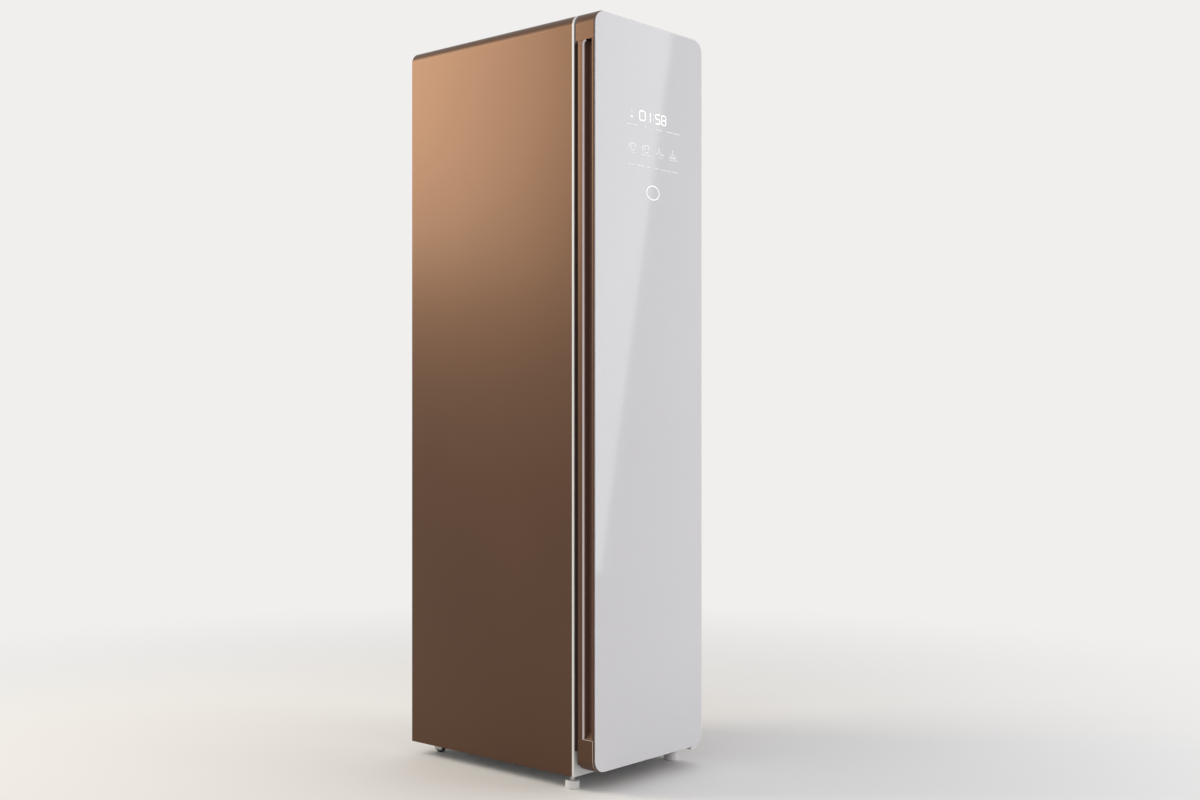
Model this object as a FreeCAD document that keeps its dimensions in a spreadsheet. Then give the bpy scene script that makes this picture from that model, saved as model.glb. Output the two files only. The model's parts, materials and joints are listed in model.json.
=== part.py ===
"""Clothes care steam cabinet: a heated steam wardrobe with a glass-fronted door.

Frame: millimetres, +Z up, origin on the floor under the middle of the whole
cabinet. The glass door is the front and faces -Y, and +X is to the right of
someone who stands before it. The door is hinged on its right side.

The sheet "Sizes" holds every driving dimension as a plain number. The sheet
"Places" works the shared planes and centres out from them. Every feature is
bound to the two sheets by formulas.
"""
import FreeCAD, Part
import math
import os
import re

import Sketcher

Vector = FreeCAD.Vector

# ---------------------------------------------------------------- sizes (mm)
SIZES = {
    # outer shell
    "cab_width": 430,
    "body_depth": 560,
    "shell_height": 1816,
    "floor_gap": 33,
    "wrap_wall": 1.2,
    "corner_round": 30,
    "return_lip": 16,
    "back_wall": 1,
    "back_rim": 12,
    "pan_wall": 1.5,
    "pan_rim": 22,
    # front frame that the door closes on
    "frame_thick": 6.5,
    "frame_border": 25,
    "frame_round": 14,
    "lower_rail": 52,
    "middle_rail": 105,
    "top_space": 114,
    # chamber for the clothes
    "liner_wall": 3,
    "liner_round": 18,
    "rear_space": 60,
    "shelf_rise": 170,
    "shelf_ledge": 9,
    "ledge_thick": 6,
    "ledge_setback": 20,
    # door
    "gasket_gap": 11.3,
    "door_depth": 52.2,
    "door_rise": 16,
    "door_over": 1,
    "door_inset": 1,
    "glass_thick": 4,
    "glass_inset": 4,
    "glass_end": 2,
    "glass_round": 31,
    "glass_proud": 3,
    "carrier_thick": 2,
    "carrier_gap": 0.2,
    "rebate_lip": 3,
    "rebate_end": 1.2,
    "door_round": 33,
    "bottom_cap_height": 79,
    "top_cap_height": 69,
    "top_cap_step": 6.5,
    "cap_wall": 3,
    "cap_side": 8,
    "hinge_block": 34,
    "left_profile_width": 34,
    "right_profile_width": 16,
    "door_liner_wall": 3,
    # grip groove in the left edge of the door
    "grip_rear": 17.5,
    "grip_width": 26.7,
    "grip_depth": 22,
    "grip_bevel": 3.4,
    "grip_lining": 1.5,
    "lining_setback": 1,
    # magnetic gasket
    "gasket_width": 12,
    "gasket_low": 12,
    "gasket_top": 3,
    "gasket_clear": 0.3,
    # display behind the glass
    "display_x": 7.5,
    "display_half": 112,
    "display_drop": 185,
    "display_tall": 260,
    "display_board": 8,
    "board_margin": 12,
    # door hinges
    "hinge_side": 11,
    "hinge_back": 20,
    "hinge_plate": 3,
    "hinge_wide": 18,
    "hinge_leg": 42,
    "hinge_pin_round": 4,
    "pin_clear": 0.05,
    "bush_round": 7,
    "top_arm_drop": 34,
    "notch_clear": 1.5,
    "notch_front": 15,
    "top_pin_length": 13,
    "top_bush_length": 15,
    "bottom_arm_drop": 7,
    "bottom_pin_length": 34,
    "bottom_bush_length": 40,
    "bush_clear": 0.3,
    "cover_wall": 2.2,
    "cover_clear": 0.4,
    "cover_floor": 3,
    "cover_door_clear": 1.5,
    # trouser press on the inside of the door
    "press_axis_x": 145,
    "press_width": 295,
    "press_low": 640,
    "press_height": 800,
    "press_thick": 18,
    "press_heel": 8,
    "press_pin_round": 4,
    "press_pin_length": 11,
    "press_gap": 0.8,
    "lug_half": 9,
    "lug_tall": 14,
    "pad_thick": 3.5,
    "pad_inset": 20,
    "press_corner": 12,
    "press_wall": 3,
    # tank bay and the two water tanks
    "tank_open_height": 240,
    "bay_depth": 150,
    "bay_wall": 2.5,
    "divider": 6,
    "bay_runner": 14,
    "bay_runner_x": 120,
    "tank_clear": 2.5,
    "tank_float": 0.3,
    "tank_setback": 25,
    "tank_wall": 2.5,
    "tank_height": 226,
    "lid_thick": 5,
    "lid_lip": 4,
    "lid_fit": 0.2,
    "filler_round": 18,
    "filler_rise": 4,
    "tank_grip_half": 42,
    "tank_grip_drop": 18,
    "tank_grip_tall": 30,
    "tank_grip_deep": 15,
    "tank_grip_round": 8,
    # air path below the chamber floor
    "duct_gap": 8,
    "duct_drop": 237,
    "duct_wall": 2.5,
    "channel_setback": 10,
    "coil_side_gap": 2,
    "coil_top_gap": 12,
    "evaporator_gap": 10,
    "evaporator_depth": 60,
    "coil_space": 14,
    "condenser_depth": 65,
    "coil_end_plate": 3,
    "fin_thick": 1,
    "fin_count": 20,
    "tube_round": 4,
    "tube_pitch": 42,
    "tube_edge": 18,
    # fan
    "fan_drop": 127,
    "wheel_round": 72,
    "wheel_width": 46,
    "wheel_plate": 2.5,
    "wheel_ring": 3,
    "blade_deep": 14,
    "blade_thick": 1.5,
    "blade_count": 24,
    "wheel_hub": 14,
    "hub_long": 18,
    "shaft_round": 4,
    "shaft_reach": 34,
    "shaft_end": 1,
    "scroll_round": 78,
    "scroll_wall": 3,
    "scroll_depth": 64,
    "scroll_back_gap": 45,
    "scroll_margin": 7,
    "scroll_side_gap": 6,
    "inlet_round": 52,
    "shaft_hole": 7,
    "outlet_right": 20,
    "motor_round": 38,
    "motor_long": 44,
    "motor_flange": 50,
    "motor_plate": 3,
    # refrigerant compressor
    "compressor_setback": 195,
    "compressor_gap": 4.4,
    "compressor_round": 57,
    "compressor_height": 200,
    "compressor_dome": 24,
    "compressor_wall": 9,
    "compressor_foot": 74,
    "compressor_plate": 3,
    "mount_round": 10,
    "mount_height": 14,
    "mount_reach": 63,
    "accumulator_round": 20,
    "accumulator_height": 120,
    "accumulator_rise": 45,
    "pipe_round": 4,
    "pipe_bend": 14,
    "pipe_loop": 20,
    # steam generator, pump and control box
    "boiler_wide": 92,
    "boiler_deep": 80,
    "boiler_height": 150,
    "boiler_round": 12,
    "boiler_wall": 2.5,
    "boiler_gap": 12,
    "boiler_neck": 7,
    "boiler_neck_rise": 14,
    "hose_wall": 2.5,
    "nozzle_flange": 26,
    "nozzle_rise": 14,
    "nozzle_lip": 3,
    "nozzle_spigot": 16,
    "nozzle_slot": 3,
    "pump_wide": 70,
    "pump_deep": 86,
    "pump_height": 60,
    "pump_side_gap": 58.8,
    "pump_gap": 30,
    "pump_head": 24,
    "pump_head_rise": 26,
    "feed_round": 5,
    "feed_rise": 24,
    "control_wide": 150,
    "control_deep": 110,
    "control_height": 140,
    "control_wall": 2.5,
    "control_side_gap": 12,
    "control_rear_gap": 22,
    "inlet_x": 60,
    "inlet_rise": 60,
    "inlet_wide": 50,
    "inlet_tall": 30,
    "inlet_body_wide": 30,
    "inlet_body_tall": 22,
    "inlet_deep": 18,
    "inlet_flange": 2,
    "inlet_socket": 14,
    "inlet_wall": 2.5,
    "inlet_corner": 3,
    "blade_x": 7,
    "blade_z": 4,
    "blade_half": 1,
    # chamber floor fittings
    "filter_wide": 150,
    "filter_deep": 46,
    "filter_x": -90,
    "filter_setback": 45,
    "filter_reach": 55,
    "filter_fit": 1,
    "filter_flange": 6,
    "filter_plate": 3,
    "filter_wall": 2,
    "filter_grip": 14,
    "filter_bar": 6,
    "floor_float": 0.3,
    "grille_plate": 3,
    "grille_flange": 6,
    "grille_fit": 0.4,
    "grille_slot": 5,
    "grille_pitch": 11,
    "grille_slots": 8,
    "filter_slots": 12,
    # shelf rack
    "rack_side_gap": 1.5,
    "rack_front_gap": 62,
    "rack_rear_gap": 12,
    "rack_bar": 8,
    "rack_thick": 6,
    "rack_wire": 4,
    "wire_count": 8,
    # moving hanger bar and its shaker
    "bar_half": 160,
    "bar_wide": 24,
    "bar_tall": 22,
    "bar_drop": 46,
    "notch_wide": 12,
    "notch_deep": 8,
    "notch_pitch": 30,
    "notch_count": 5,
    "bar_edge": 1,
    "post_round": 7,
    "post_x": 95,
    "post_clear": 1.5,
    "chassis_half": 152,
    "chassis_wide": 66,
    "chassis_wall": 3,
    "rail_block": 12,
    "rail_block_tall": 30,
    "rail_height": 19,
    "rail_round": 5,
    "rail_space": 42,
    "rail_clear": 0.1,
    "carriage_half": 112,
    "carriage_wide": 54,
    "carriage_thick": 16,
    "carriage_lift": 11,
    "crank_reach": 12,
    "crank_pin": 4,
    "crank_pin_deep": 9,
    "slot_clear": 0.4,
    "slot_end": 2,
    "crank_round": 20,
    "crank_thick": 5,
    "crank_gap": 2,
    "bridge_half": 36,
    "bridge_gap": 2,
    "bridge_wall": 3,
    "upright": 5,
    "bridge_hole": 10,
    "gear_round": 32,
    "gear_height": 46,
    "gear_shaft": 20,
    "light_half": 55,
    "light_deep": 30,
    "light_setback": 40,
    "light_box": 12,
    "light_rim": 6,
    # feet and rollers
    "foot_side": 22,
    "foot_setback": 17.5,
    "foot_round": 17.5,
    "foot_tall": 20,
    "foot_edge": 2,
    "stem_round": 5,
    "stem_reach": 17,
    "stem_end": 2,
    "nut_round": 10,
    "nut_height": 20,
    "roller_side": 65,
    "roller_setback": 42,
    "roller_round": 14,
    "roller_wide": 15,
    "roller_edge": 2,
    "axle_round": 3,
    "fork_gap": 0.6,
    "fork_wall": 2,
    "fork_deep": 26,
    "fork_drop": 25,
    # fasteners and louvres
    "screw_round": 2,
    "screw_head": 4,
    "screw_head_rise": 2.4,
    "screw_edge": 9,
    "screw_rise": 40,
    "louvre_wide": 150,
    "louvre_tall": 5,
    "louvre_pitch": 14,
    "louvre_rise": 170,
    "louvre_x": -80,
    "louvre_count": 10,
}

# ------------------------------------------- shared planes and centres (mm)
PLACES = {
    "half_width": "cab_width / 2",
    "front_y": "-(body_depth + frame_thick + gasket_gap + door_depth) / 2",
    "door_rear": "front_y + door_depth",
    "frame_front": "door_rear + gasket_gap",
    "body_front": "frame_front + frame_thick",
    "body_rear": "body_front + body_depth",
    "plate_front": "body_rear - back_rim",
    "lip_front": "plate_front - wrap_wall",
    "shell_low": "floor_gap",
    "shell_top": "shell_low + shell_height",
    "wrap_in": "half_width - wrap_wall",
    "wrap_top_in": "shell_top - wrap_wall",
    "pan_top": "shell_low + pan_wall",
    # openings of the front frame
    "chamber_half": "half_width - frame_border",
    "tank_low": "shell_low + lower_rail",
    "tank_high": "tank_low + tank_open_height",
    "chamber_low": "tank_high + middle_rail",
    "chamber_high": "shell_top - top_space",
    # chamber liner
    "liner_out": "chamber_half + liner_wall",
    "liner_under": "chamber_low - liner_wall",
    "liner_over": "chamber_high + liner_wall",
    "liner_rear": "body_rear - rear_space",
    "liner_back_in": "liner_rear - liner_wall",
    "ledge_top": "chamber_low + shelf_rise",
    # door
    "door_half": "half_width - door_inset",
    "door_low": "shell_low + door_rise",
    "door_high": "shell_top + door_over",
    "glass_rear": "front_y + glass_thick",
    "carrier_rear": "glass_rear + carrier_thick",
    "door_lip": "front_y + glass_proud",
    "rebate_half": "door_half - rebate_lip",
    "left_profile_in": "left_profile_width - door_half",
    "right_profile_in": "door_half - right_profile_width",
    "bottom_cap_top": "door_low + bottom_cap_height",
    "top_cap_low": "door_high - top_cap_height",
    "display_high": "door_high - display_drop",
    "display_low": "display_high - display_tall",
    "liner_front": "door_rear - door_liner_wall",
    "grip_back_y": "door_rear - grip_rear",
    "grip_front_y": "grip_back_y - grip_width",
    "grip_in": "grip_depth - door_half",
    "gasket_low_z": "door_low + gasket_low",
    "gasket_top_z": "top_cap_low - gasket_top",
    # hinge axis and arms
    "hinge_x": "door_half - hinge_side",
    "hinge_y": "door_rear - hinge_back",
    "leg_back": "frame_front + hinge_plate",
    "top_arm_high": "shell_top - top_arm_drop",
    "top_arm_low": "top_arm_high - hinge_plate",
    "top_notch_low": "top_arm_low - notch_clear",
    "bottom_arm_high": "door_low - bottom_arm_drop",
    "bottom_arm_low": "bottom_arm_high - hinge_plate",
    "bottom_bush_low": "bottom_arm_high + bush_clear",
    # trouser press
    "press_y": "door_rear + pad_thick + press_gap + press_thick / 2",
    "press_right": "press_axis_x + press_heel",
    "press_left": "press_right - press_width",
    "press_high": "press_low + press_height",
    # tanks
    "bay_rear": "body_front + bay_depth",
    "bay_low": "tank_low - bay_wall",
    "bay_top": "tank_high + bay_wall",
    "tank_front": "frame_front + tank_setback",
    "tank_rear": "bay_rear - bay_wall - tank_clear",
    "tank_outer_x": "chamber_half - tank_clear",
    "tank_inner_x": "divider / 2 + tank_clear",
    "tank_floor": "tank_low + tank_float",
    "tank_top": "tank_floor + tank_height",
    # air path and fan, to the left of the compressor
    "compressor_x": "wrap_in - compressor_gap - compressor_foot",
    "duct_left": "-liner_out",
    "duct_right": "compressor_x - compressor_foot - compressor_gap",
    "duct_front": "bay_rear + duct_gap",
    "scroll_rear": "liner_back_in - scroll_back_gap",
    "duct_rear": "scroll_rear - scroll_depth",
    "duct_low": "liner_under - duct_drop",
    "channel_front": "body_front + channel_setback",
    "coil_left": "duct_left + duct_wall + coil_side_gap",
    "coil_right": "duct_right - duct_wall - coil_side_gap",
    "coil_low": "duct_low + duct_wall",
    "coil_high": "liner_under - coil_top_gap",
    "evaporator_front": "duct_front + duct_wall + evaporator_gap",
    "evaporator_rear": "evaporator_front + evaporator_depth",
    "condenser_front": "evaporator_rear + coil_space",
    "condenser_rear": "condenser_front + condenser_depth",
    "evaporator_y": "evaporator_front + evaporator_depth / 2",
    "condenser_y": "condenser_front + condenser_depth / 2",
    "fan_x": "(duct_left + duct_right) / 2",
    "fan_z": "liner_under - fan_drop",
    "scroll_half": "scroll_round + scroll_margin",
    "scroll_in_front": "duct_rear + scroll_wall",
    "scroll_in_rear": "scroll_rear - scroll_wall",
    "outlet_left_x": "fan_x - scroll_round",
    "outlet_right_x": "fan_x + outlet_right",
    "wheel_front": "scroll_in_front + scroll_side_gap",
    # machines on the base pan
    "compressor_y": "bay_rear + compressor_setback",
    "compressor_low": "pan_top + mount_height",
    "compressor_top": "compressor_low + compressor_plate + compressor_height",
    "accumulator_y": "compressor_y - compressor_round - accumulator_round",
    "accumulator_low": "compressor_low + accumulator_rise",
    "accumulator_top": "accumulator_low + accumulator_height",
    "boiler_front": "bay_rear + boiler_gap",
    "boiler_y": "boiler_front + boiler_deep / 2",
    "boiler_top": "pan_top + boiler_height",
    "pump_x": "pump_side_gap + pump_wide / 2 - wrap_in",
    "pump_front": "bay_rear + pump_gap",
    "pump_top": "pan_top + pump_height",
    "control_left": "control_side_gap - wrap_in",
    "control_rear": "lip_front - control_rear_gap",
    "inlet_z": "shell_low + inlet_rise",
    # chamber floor fittings
    "filter_front": "body_front + filter_setback",
    "filter_rear": "filter_front + filter_deep",
    "filter_seat": "chamber_low + floor_float",
    "filter_top": "filter_seat + filter_plate",
    "rack_half": "chamber_half - rack_side_gap",
    "rack_front": "body_front + rack_front_gap",
    "rack_rear": "liner_back_in - rack_rear_gap",
    "rack_low": "ledge_top + floor_float",
    # hanger bar and shaker
    "hang_y": "(body_front + liner_back_in) / 2",
    "bar_top": "chamber_high - bar_drop",
    "post_slot": "post_round + post_clear",
    "chassis_top": "liner_over + chassis_wall",
    "rail_z": "liner_over + rail_height",
    "carriage_low": "liner_over + carriage_lift",
    "carriage_top": "carriage_low + carriage_thick",
    "crank_low": "carriage_top + crank_gap",
    "crank_top": "crank_low + crank_thick",
    "bridge_low": "crank_top + bridge_gap",
    "bridge_top": "bridge_low + bridge_wall",
    "pin_y": "hang_y - crank_reach",
    "light_front": "body_front + light_setback",
    # feet and rollers
    "foot_x": "half_width - foot_side",
    "foot_y": "body_front + foot_setback",
    "roller_x": "half_width - roller_side",
    "roller_y": "body_rear - roller_setback",
}

doc = FreeCAD.newDocument("SteamCabinet")


def make_sheet(name, cells):
    """A spreadsheet with one named cell per row."""
    sheet = doc.addObject("Spreadsheet::Sheet", name)
    for row, (alias, text) in enumerate(cells.items(), 1):
        sheet.set(f"A{row}", alias)
        sheet.set(f"B{row}", text)
        sheet.setAlias(f"B{row}", alias)
    return sheet


def refer(formula, own_sheet=""):
    """The formula with each name led by the sheet that holds it."""
    def lead(match):
        word = match.group(0)
        if word in SIZES:
            return "Sizes." + word
        if word in PLACES and own_sheet != "Places":
            return "Places." + word
        return word

    return re.sub(r"[a-z_]+", lead, formula)


sizes = make_sheet("Sizes", {name: str(size) for name, size in SIZES.items()})
places = make_sheet("Places", {name: "=" + refer(text, "Places") for name, text in PLACES.items()})
doc.recompute()

nodes = []


def value(formula):
    """The number that a formula gives now."""
    return float(places.evalExpression(refer(formula)))


def bind(item, path, formula):
    """Tie one property of an object to the sheets."""
    item.setExpression(path, refer(formula))


# ------------------------------------------------------------ sketch outlines
PLANES = {"x": "YZ_Plane", "y": "XZ_Plane", "z": "XY_Plane"}
RIGHT_ANGLE = math.pi / 2
ROOT_POINT = (-1, 1)


def pin_point(sketch, geometry, end, across, up):
    """Hold a point of the sketch at two formulas."""
    for kind, formula in (("DistanceX", across), ("DistanceY", up)):
        rule = Sketcher.Constraint(kind, *ROOT_POINT, geometry, end, value(formula))
        bind(sketch, f"Constraints[{sketch.addConstraint(rule)}]", formula)


def polygon(*corners):
    """A closed outline through corners given as pairs of formulas."""
    def draw(sketch):
        spots = [Vector(value(across), value(up), 0) for across, up in corners]
        ends = spots[1:] + spots[:1]
        lines = [sketch.addGeometry(Part.LineSegment(a, b)) for a, b in zip(spots, ends)]
        following = lines[1:] + lines[:1]
        for line, after in zip(lines, following):
            sketch.addConstraint(Sketcher.Constraint("Coincident", line, 2, after, 1))
        for line, (across, up) in zip(lines, corners):
            pin_point(sketch, line, 1, across, up)

    return draw


def rectangle(across, up):
    """A square-cornered outline between two pairs of formulas."""
    left, right = across
    low, high = up
    return polygon((left, low), (right, low), (right, high), (left, high))


def circle(across, up, radius):
    """A circle with its centre at two formulas."""
    def draw(sketch):
        centre = Vector(value(across), value(up), 0)
        ring = sketch.addGeometry(Part.Circle(centre, Vector(0, 0, 1), value(radius)))
        pin_point(sketch, ring, 3, across, up)
        rule = sketch.addConstraint(Sketcher.Constraint("Radius", ring, value(radius)))
        bind(sketch, f"Constraints[{rule}]", radius)

    return draw


def rounded(across, up, radius, top=True, bottom=True):
    """A rectangle with its two top corners, its two bottom corners or all four rounded."""
    left, right = across
    low, high = up

    def draw(sketch):
        x0, x1, z0, z1, r = (value(text) for text in (left, right, low, high, radius))
        head = r if top else 0
        foot = r if bottom else 0
        ends = [
            (Vector(x0 + foot, z0, 0), Vector(x1 - foot, z0, 0)),
            (Vector(x1, z0 + foot, 0), Vector(x1, z1 - head, 0)),
            (Vector(x1 - head, z1, 0), Vector(x0 + head, z1, 0)),
            (Vector(x0, z1 - head, 0), Vector(x0, z0 + foot, 0)),
        ]
        floor, right_side, roof, left_side = [sketch.addGeometry(Part.LineSegment(a, b)) for a, b in ends]
        corners = [
            (right_side, roof, Vector(x1 - r, z1 - r, 0), top),
            (roof, left_side, Vector(x0 + r, z1 - r, 0), top),
            (left_side, floor, Vector(x0 + r, z0 + r, 0), bottom),
            (floor, right_side, Vector(x1 - r, z0 + r, 0), bottom),
        ]
        for quarter, (before, after, centre, soft) in enumerate(corners):
            if not soft:
                sketch.addConstraint(Sketcher.Constraint("Coincident", before, 2, after, 1))
                continue
            ring = Part.Circle(centre, Vector(0, 0, 1), r)
            start = quarter * RIGHT_ANGLE
            arc = sketch.addGeometry(Part.ArcOfCircle(ring, start, start + RIGHT_ANGLE))
            sketch.addConstraint(Sketcher.Constraint("Tangent", before, 2, arc, 1))
            sketch.addConstraint(Sketcher.Constraint("Tangent", arc, 2, after, 1))
            rule = sketch.addConstraint(Sketcher.Constraint("Radius", arc, r))
            bind(sketch, f"Constraints[{rule}]", radius)
        for line in (floor, roof):
            sketch.addConstraint(Sketcher.Constraint("Horizontal", line))
        for line in (left_side, right_side):
            sketch.addConstraint(Sketcher.Constraint("Vertical", line))
        for kind, line, formula in (
            ("DistanceX", left_side, left),
            ("DistanceX", right_side, right),
            ("DistanceY", floor, low),
            ("DistanceY", roof, high),
        ):
            rule = Sketcher.Constraint(kind, *ROOT_POINT, line, 1, value(formula))
            bind(sketch, f"Constraints[{sketch.addConstraint(rule)}]", formula)

    return draw


# ---------------------------------------------------------- bodies and cuts
def new_body(label, at=None, turned=None):
    """A sub-part's body, listed as a node; its local frame sits at three formulas."""
    body = doc.addObject("PartDesign::Body", label)
    body.Label = label
    if turned:
        body.Placement = FreeCAD.Placement(Vector(), turned)
    for letter, formula in zip("xyz", at or ()):
        bind(body, f".Placement.Base.{letter}", formula)
    nodes.append(body)
    return body


def new_sketch(body, axis, place, outlines):
    """A sketch across one axis of the body, at a place along it."""
    sketch = body.newObject("Sketcher::SketchObject", body.Name + "_sketch")
    plane = [item for item in body.Origin.OriginFeatures if item.Role == PLANES[axis]][0]
    sketch.AttachmentSupport = [(plane, "")]
    sketch.MapMode = "FlatFace"
    # The XZ plane looks along -Y, so its offset is counted the other way.
    sign = "-" if axis == "y" else ""
    bind(sketch, ".AttachmentOffset.Base.z", f"{sign}({place})")
    for outline in outlines:
        outline(sketch)
    return sketch


def add(body, axis, span, *outlines):
    """Pad the outlines between two places along an axis."""
    low, high = span
    sketch = new_sketch(body, axis, high if axis == "y" else low, outlines)
    pad = body.newObject("PartDesign::Pad", body.Name + "_pad")
    pad.Profile = sketch
    bind(pad, "Length", f"({high}) - ({low})")
    return pad


def take(body, axis, span, *outlines):
    """Cut the outlines away between two places along an axis."""
    low, high = span
    sketch = new_sketch(body, axis, low if axis == "y" else high, outlines)
    pocket = body.newObject("PartDesign::Pocket", body.Name + "_pocket")
    pocket.Profile = sketch
    bind(pocket, "Length", f"({high}) - ({low})")
    return pocket


def repeat(body, feature, direction, length, count):
    """Repeat a feature along its own sketch's axis."""
    pattern = body.newObject("PartDesign::LinearPattern", body.Name + "_row")
    pattern.Originals = [feature]
    pattern.Direction = (feature.Profile[0], [direction])
    bind(pattern, "Length", length)
    bind(pattern, "Occurrences", count)
    body.Tip = pattern
    return pattern


def spin(body, *corners):
    """Turn an outline of (radius, height) corners about the body's own Z axis."""
    sketch = new_sketch(body, "y", "0", [polygon(*corners)])
    turned = body.newObject("PartDesign::Revolution", body.Name + "_turned")
    turned.Profile = sketch
    turned.ReferenceAxis = (sketch, ["V_Axis"])
    turned.Angle = 360
    return turned


def block(label, x, y, z):
    """A body that starts as a plain block between three pairs of formulas."""
    body = new_body(label)
    add(body, "z", z, rectangle(x, y))
    return body


def both(formula):
    """The span from minus a size to plus that size."""
    return f"-({formula})", formula


def about(centre, half):
    """The span of a half size on both sides of a centre."""
    return f"({centre}) - ({half})", f"({centre}) + ({half})"


def cylinder(name, axis, centre, span, radius):
    """A Part cylinder along an axis, its centre given by the two other places."""
    rod = doc.addObject("Part::Cylinder", name)
    low, high = span
    turns = {
        "x": FreeCAD.Rotation(Vector(0, 1, 0), 90),
        "y": FreeCAD.Rotation(Vector(1, 0, 0), -90),
        "z": FreeCAD.Rotation(),
    }
    rod.Placement = FreeCAD.Placement(Vector(), turns[axis])
    across = [letter for letter in "xyz" if letter != axis]
    bind(rod, "Radius", radius)
    bind(rod, "Height", f"({high}) - ({low})")
    bind(rod, f".Placement.Base.{axis}", low)
    for letter, formula in zip(across, centre):
        bind(rod, f".Placement.Base.{letter}", formula)
    return rod


def group(label, members):
    """One node made of several separate solids."""
    compound = doc.addObject("Part::Compound", label)
    compound.Label = label
    compound.Links = members
    nodes.append(compound)
    return compound


# ------------------------------------------------------------- outer shell
WRAP_SIDES = both("half_width")
WRAP_INSIDE = both("wrap_in")


def make_outer_wrap():
    """Bent sheet that makes both sides and the round-cornered top."""
    wrap = new_body("outer_wrap")
    depth = ("body_front", "body_rear")
    add(wrap, "y", depth, rounded(WRAP_SIDES, ("shell_low", "shell_top"), "corner_round", bottom=False))
    inside = ("shell_low", "wrap_top_in")
    inner_round = "corner_round - wrap_wall"
    take(wrap, "y", ("body_front", "lip_front"), rounded(WRAP_INSIDE, inside, inner_round, bottom=False))
    take(wrap, "y", ("plate_front", "body_rear"), rounded(WRAP_INSIDE, inside, inner_round, bottom=False))
    lip_opening = rounded(
        both("wrap_in - return_lip"),
        ("shell_low", "wrap_top_in - return_lip"),
        "corner_round - wrap_wall - return_lip / 2",
        bottom=False,
    )
    take(wrap, "y", ("lip_front", "plate_front"), lip_opening)
    take(wrap, "y", ("lip_front", "plate_front"), *screw_holes("screw_round"))


SCREW_ROWS = 5


def screw_spots():
    """The places of the back panel's screws, down both edges."""
    x = "wrap_in - screw_edge"
    pitch = f"(shell_height - 2 * screw_rise - corner_round) / {SCREW_ROWS - 1}"
    heights = [f"shell_low + screw_rise + {row} * {pitch}" for row in range(SCREW_ROWS)]
    return [(side + x + ")", height) for side in ("-(", "(") for height in heights]


def screw_holes(radius):
    """Round outlines at every screw of the back panel."""
    return [circle(x, z, radius) for x, z in screw_spots()]


def make_back_panel():
    """Pressed steel back with a folded rim, louvres and a hole for the power inlet."""
    panel = new_body("back_panel")
    heights = ("shell_low", "wrap_top_in")
    outline = rounded(WRAP_INSIDE, heights, "corner_round - wrap_wall", bottom=False)
    add(panel, "y", ("plate_front", "body_rear"), outline)
    hollow = rounded(
        both("wrap_in - back_wall"),
        ("shell_low + back_wall", "wrap_top_in - back_wall"),
        "corner_round - wrap_wall - back_wall",
        bottom=False,
    )
    plate = ("plate_front", "plate_front + back_wall")
    take(panel, "y", ("plate_front + back_wall", "body_rear"), hollow)
    take(panel, "y", plate, *screw_holes("screw_round"))
    inlet = rectangle(about("inlet_x", "inlet_body_wide / 2"), about("inlet_z", "inlet_body_tall / 2"))
    take(panel, "y", plate, inlet)
    low = "shell_low + louvre_rise"
    louvre = rectangle(about("louvre_x", "louvre_wide / 2"), (low, f"{low} + louvre_tall"))
    first = take(panel, "y", plate, louvre)
    repeat(panel, first, "V_Axis", "louvre_pitch * (louvre_count - 1)", "louvre_count")


def make_panel_screws():
    """Pan-head screws that hold the back panel to the wrap's return lip."""
    screws = []
    for x, z in screw_spots():
        shank_span = ("lip_front", "plate_front + back_wall")
        head_span = ("plate_front + back_wall", "plate_front + back_wall + screw_head_rise")
        shank = cylinder("screw_shank", "y", (x, z), shank_span, "screw_round")
        head = cylinder("screw_head", "y", (x, z), head_span, "screw_head")
        screw = doc.addObject("Part::Fuse", "screw")
        screw.Base = shank
        screw.Tool = head
        screws.append(screw)
    group("panel_screws", screws)


def make_base_pan():
    """Steel tray under the machines, with a closed nut boss over each front foot."""
    edges = ("body_front", "lip_front")
    pan = block("base_pan", WRAP_INSIDE, edges, ("shell_low", "shell_low + pan_rim"))
    inner_edges = ("body_front + pan_wall", "lip_front - pan_wall")
    take(pan, "z", ("pan_top", "shell_low + pan_rim"), rectangle(both("wrap_in - pan_wall"), inner_edges))
    centres = [("foot_x", "foot_y"), ("-foot_x", "foot_y")]
    add(pan, "z", ("shell_low", "shell_low + nut_height"), *[circle(x, y, "nut_round") for x, y in centres])
    bores = [circle(x, y, "stem_round + pin_clear") for x, y in centres]
    take(pan, "z", ("shell_low", "shell_low + stem_reach + stem_end"), *bores)


def make_front_frame():
    """Moulded front frame with the chamber opening, the tank opening and two hinge seats."""
    frame = new_body("front_frame")
    depth = ("frame_front", "body_front")
    outer = rounded(WRAP_SIDES, ("shell_low", "shell_top"), "corner_round", bottom=False)
    chamber = rounded(both("chamber_half"), ("chamber_low", "chamber_high"), "frame_round")
    tanks = rectangle(both("chamber_half"), ("tank_low", "tank_high"))
    add(frame, "y", depth, outer, chamber, tanks)
    leg = about("hinge_x", "hinge_wide / 2")
    seat = ("frame_front", "leg_back")
    take(frame, "y", seat, rectangle(leg, ("top_arm_high - hinge_leg", "top_arm_high")))
    take(frame, "y", seat, rectangle(leg, ("bottom_arm_low", "bottom_arm_low + hinge_leg")))


# ---------------------------------------------------------- clothes chamber
POST_SPOTS = ("post_x", "-post_x")
FILTER_HOLE_X = about("filter_x", "filter_wide / 2")
GRILLE_HOLE_X = ("outlet_left_x", "outlet_right_x")
GRILLE_HOLE_Y = ("scroll_in_front", "scroll_in_rear")


def post_slots():
    """Slots that let the two hanger posts swing from side to side."""
    reach = "crank_reach + post_slot"
    return [rectangle(about(x, reach), about("hang_y", "post_slot")) for x in POST_SPOTS]


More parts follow.
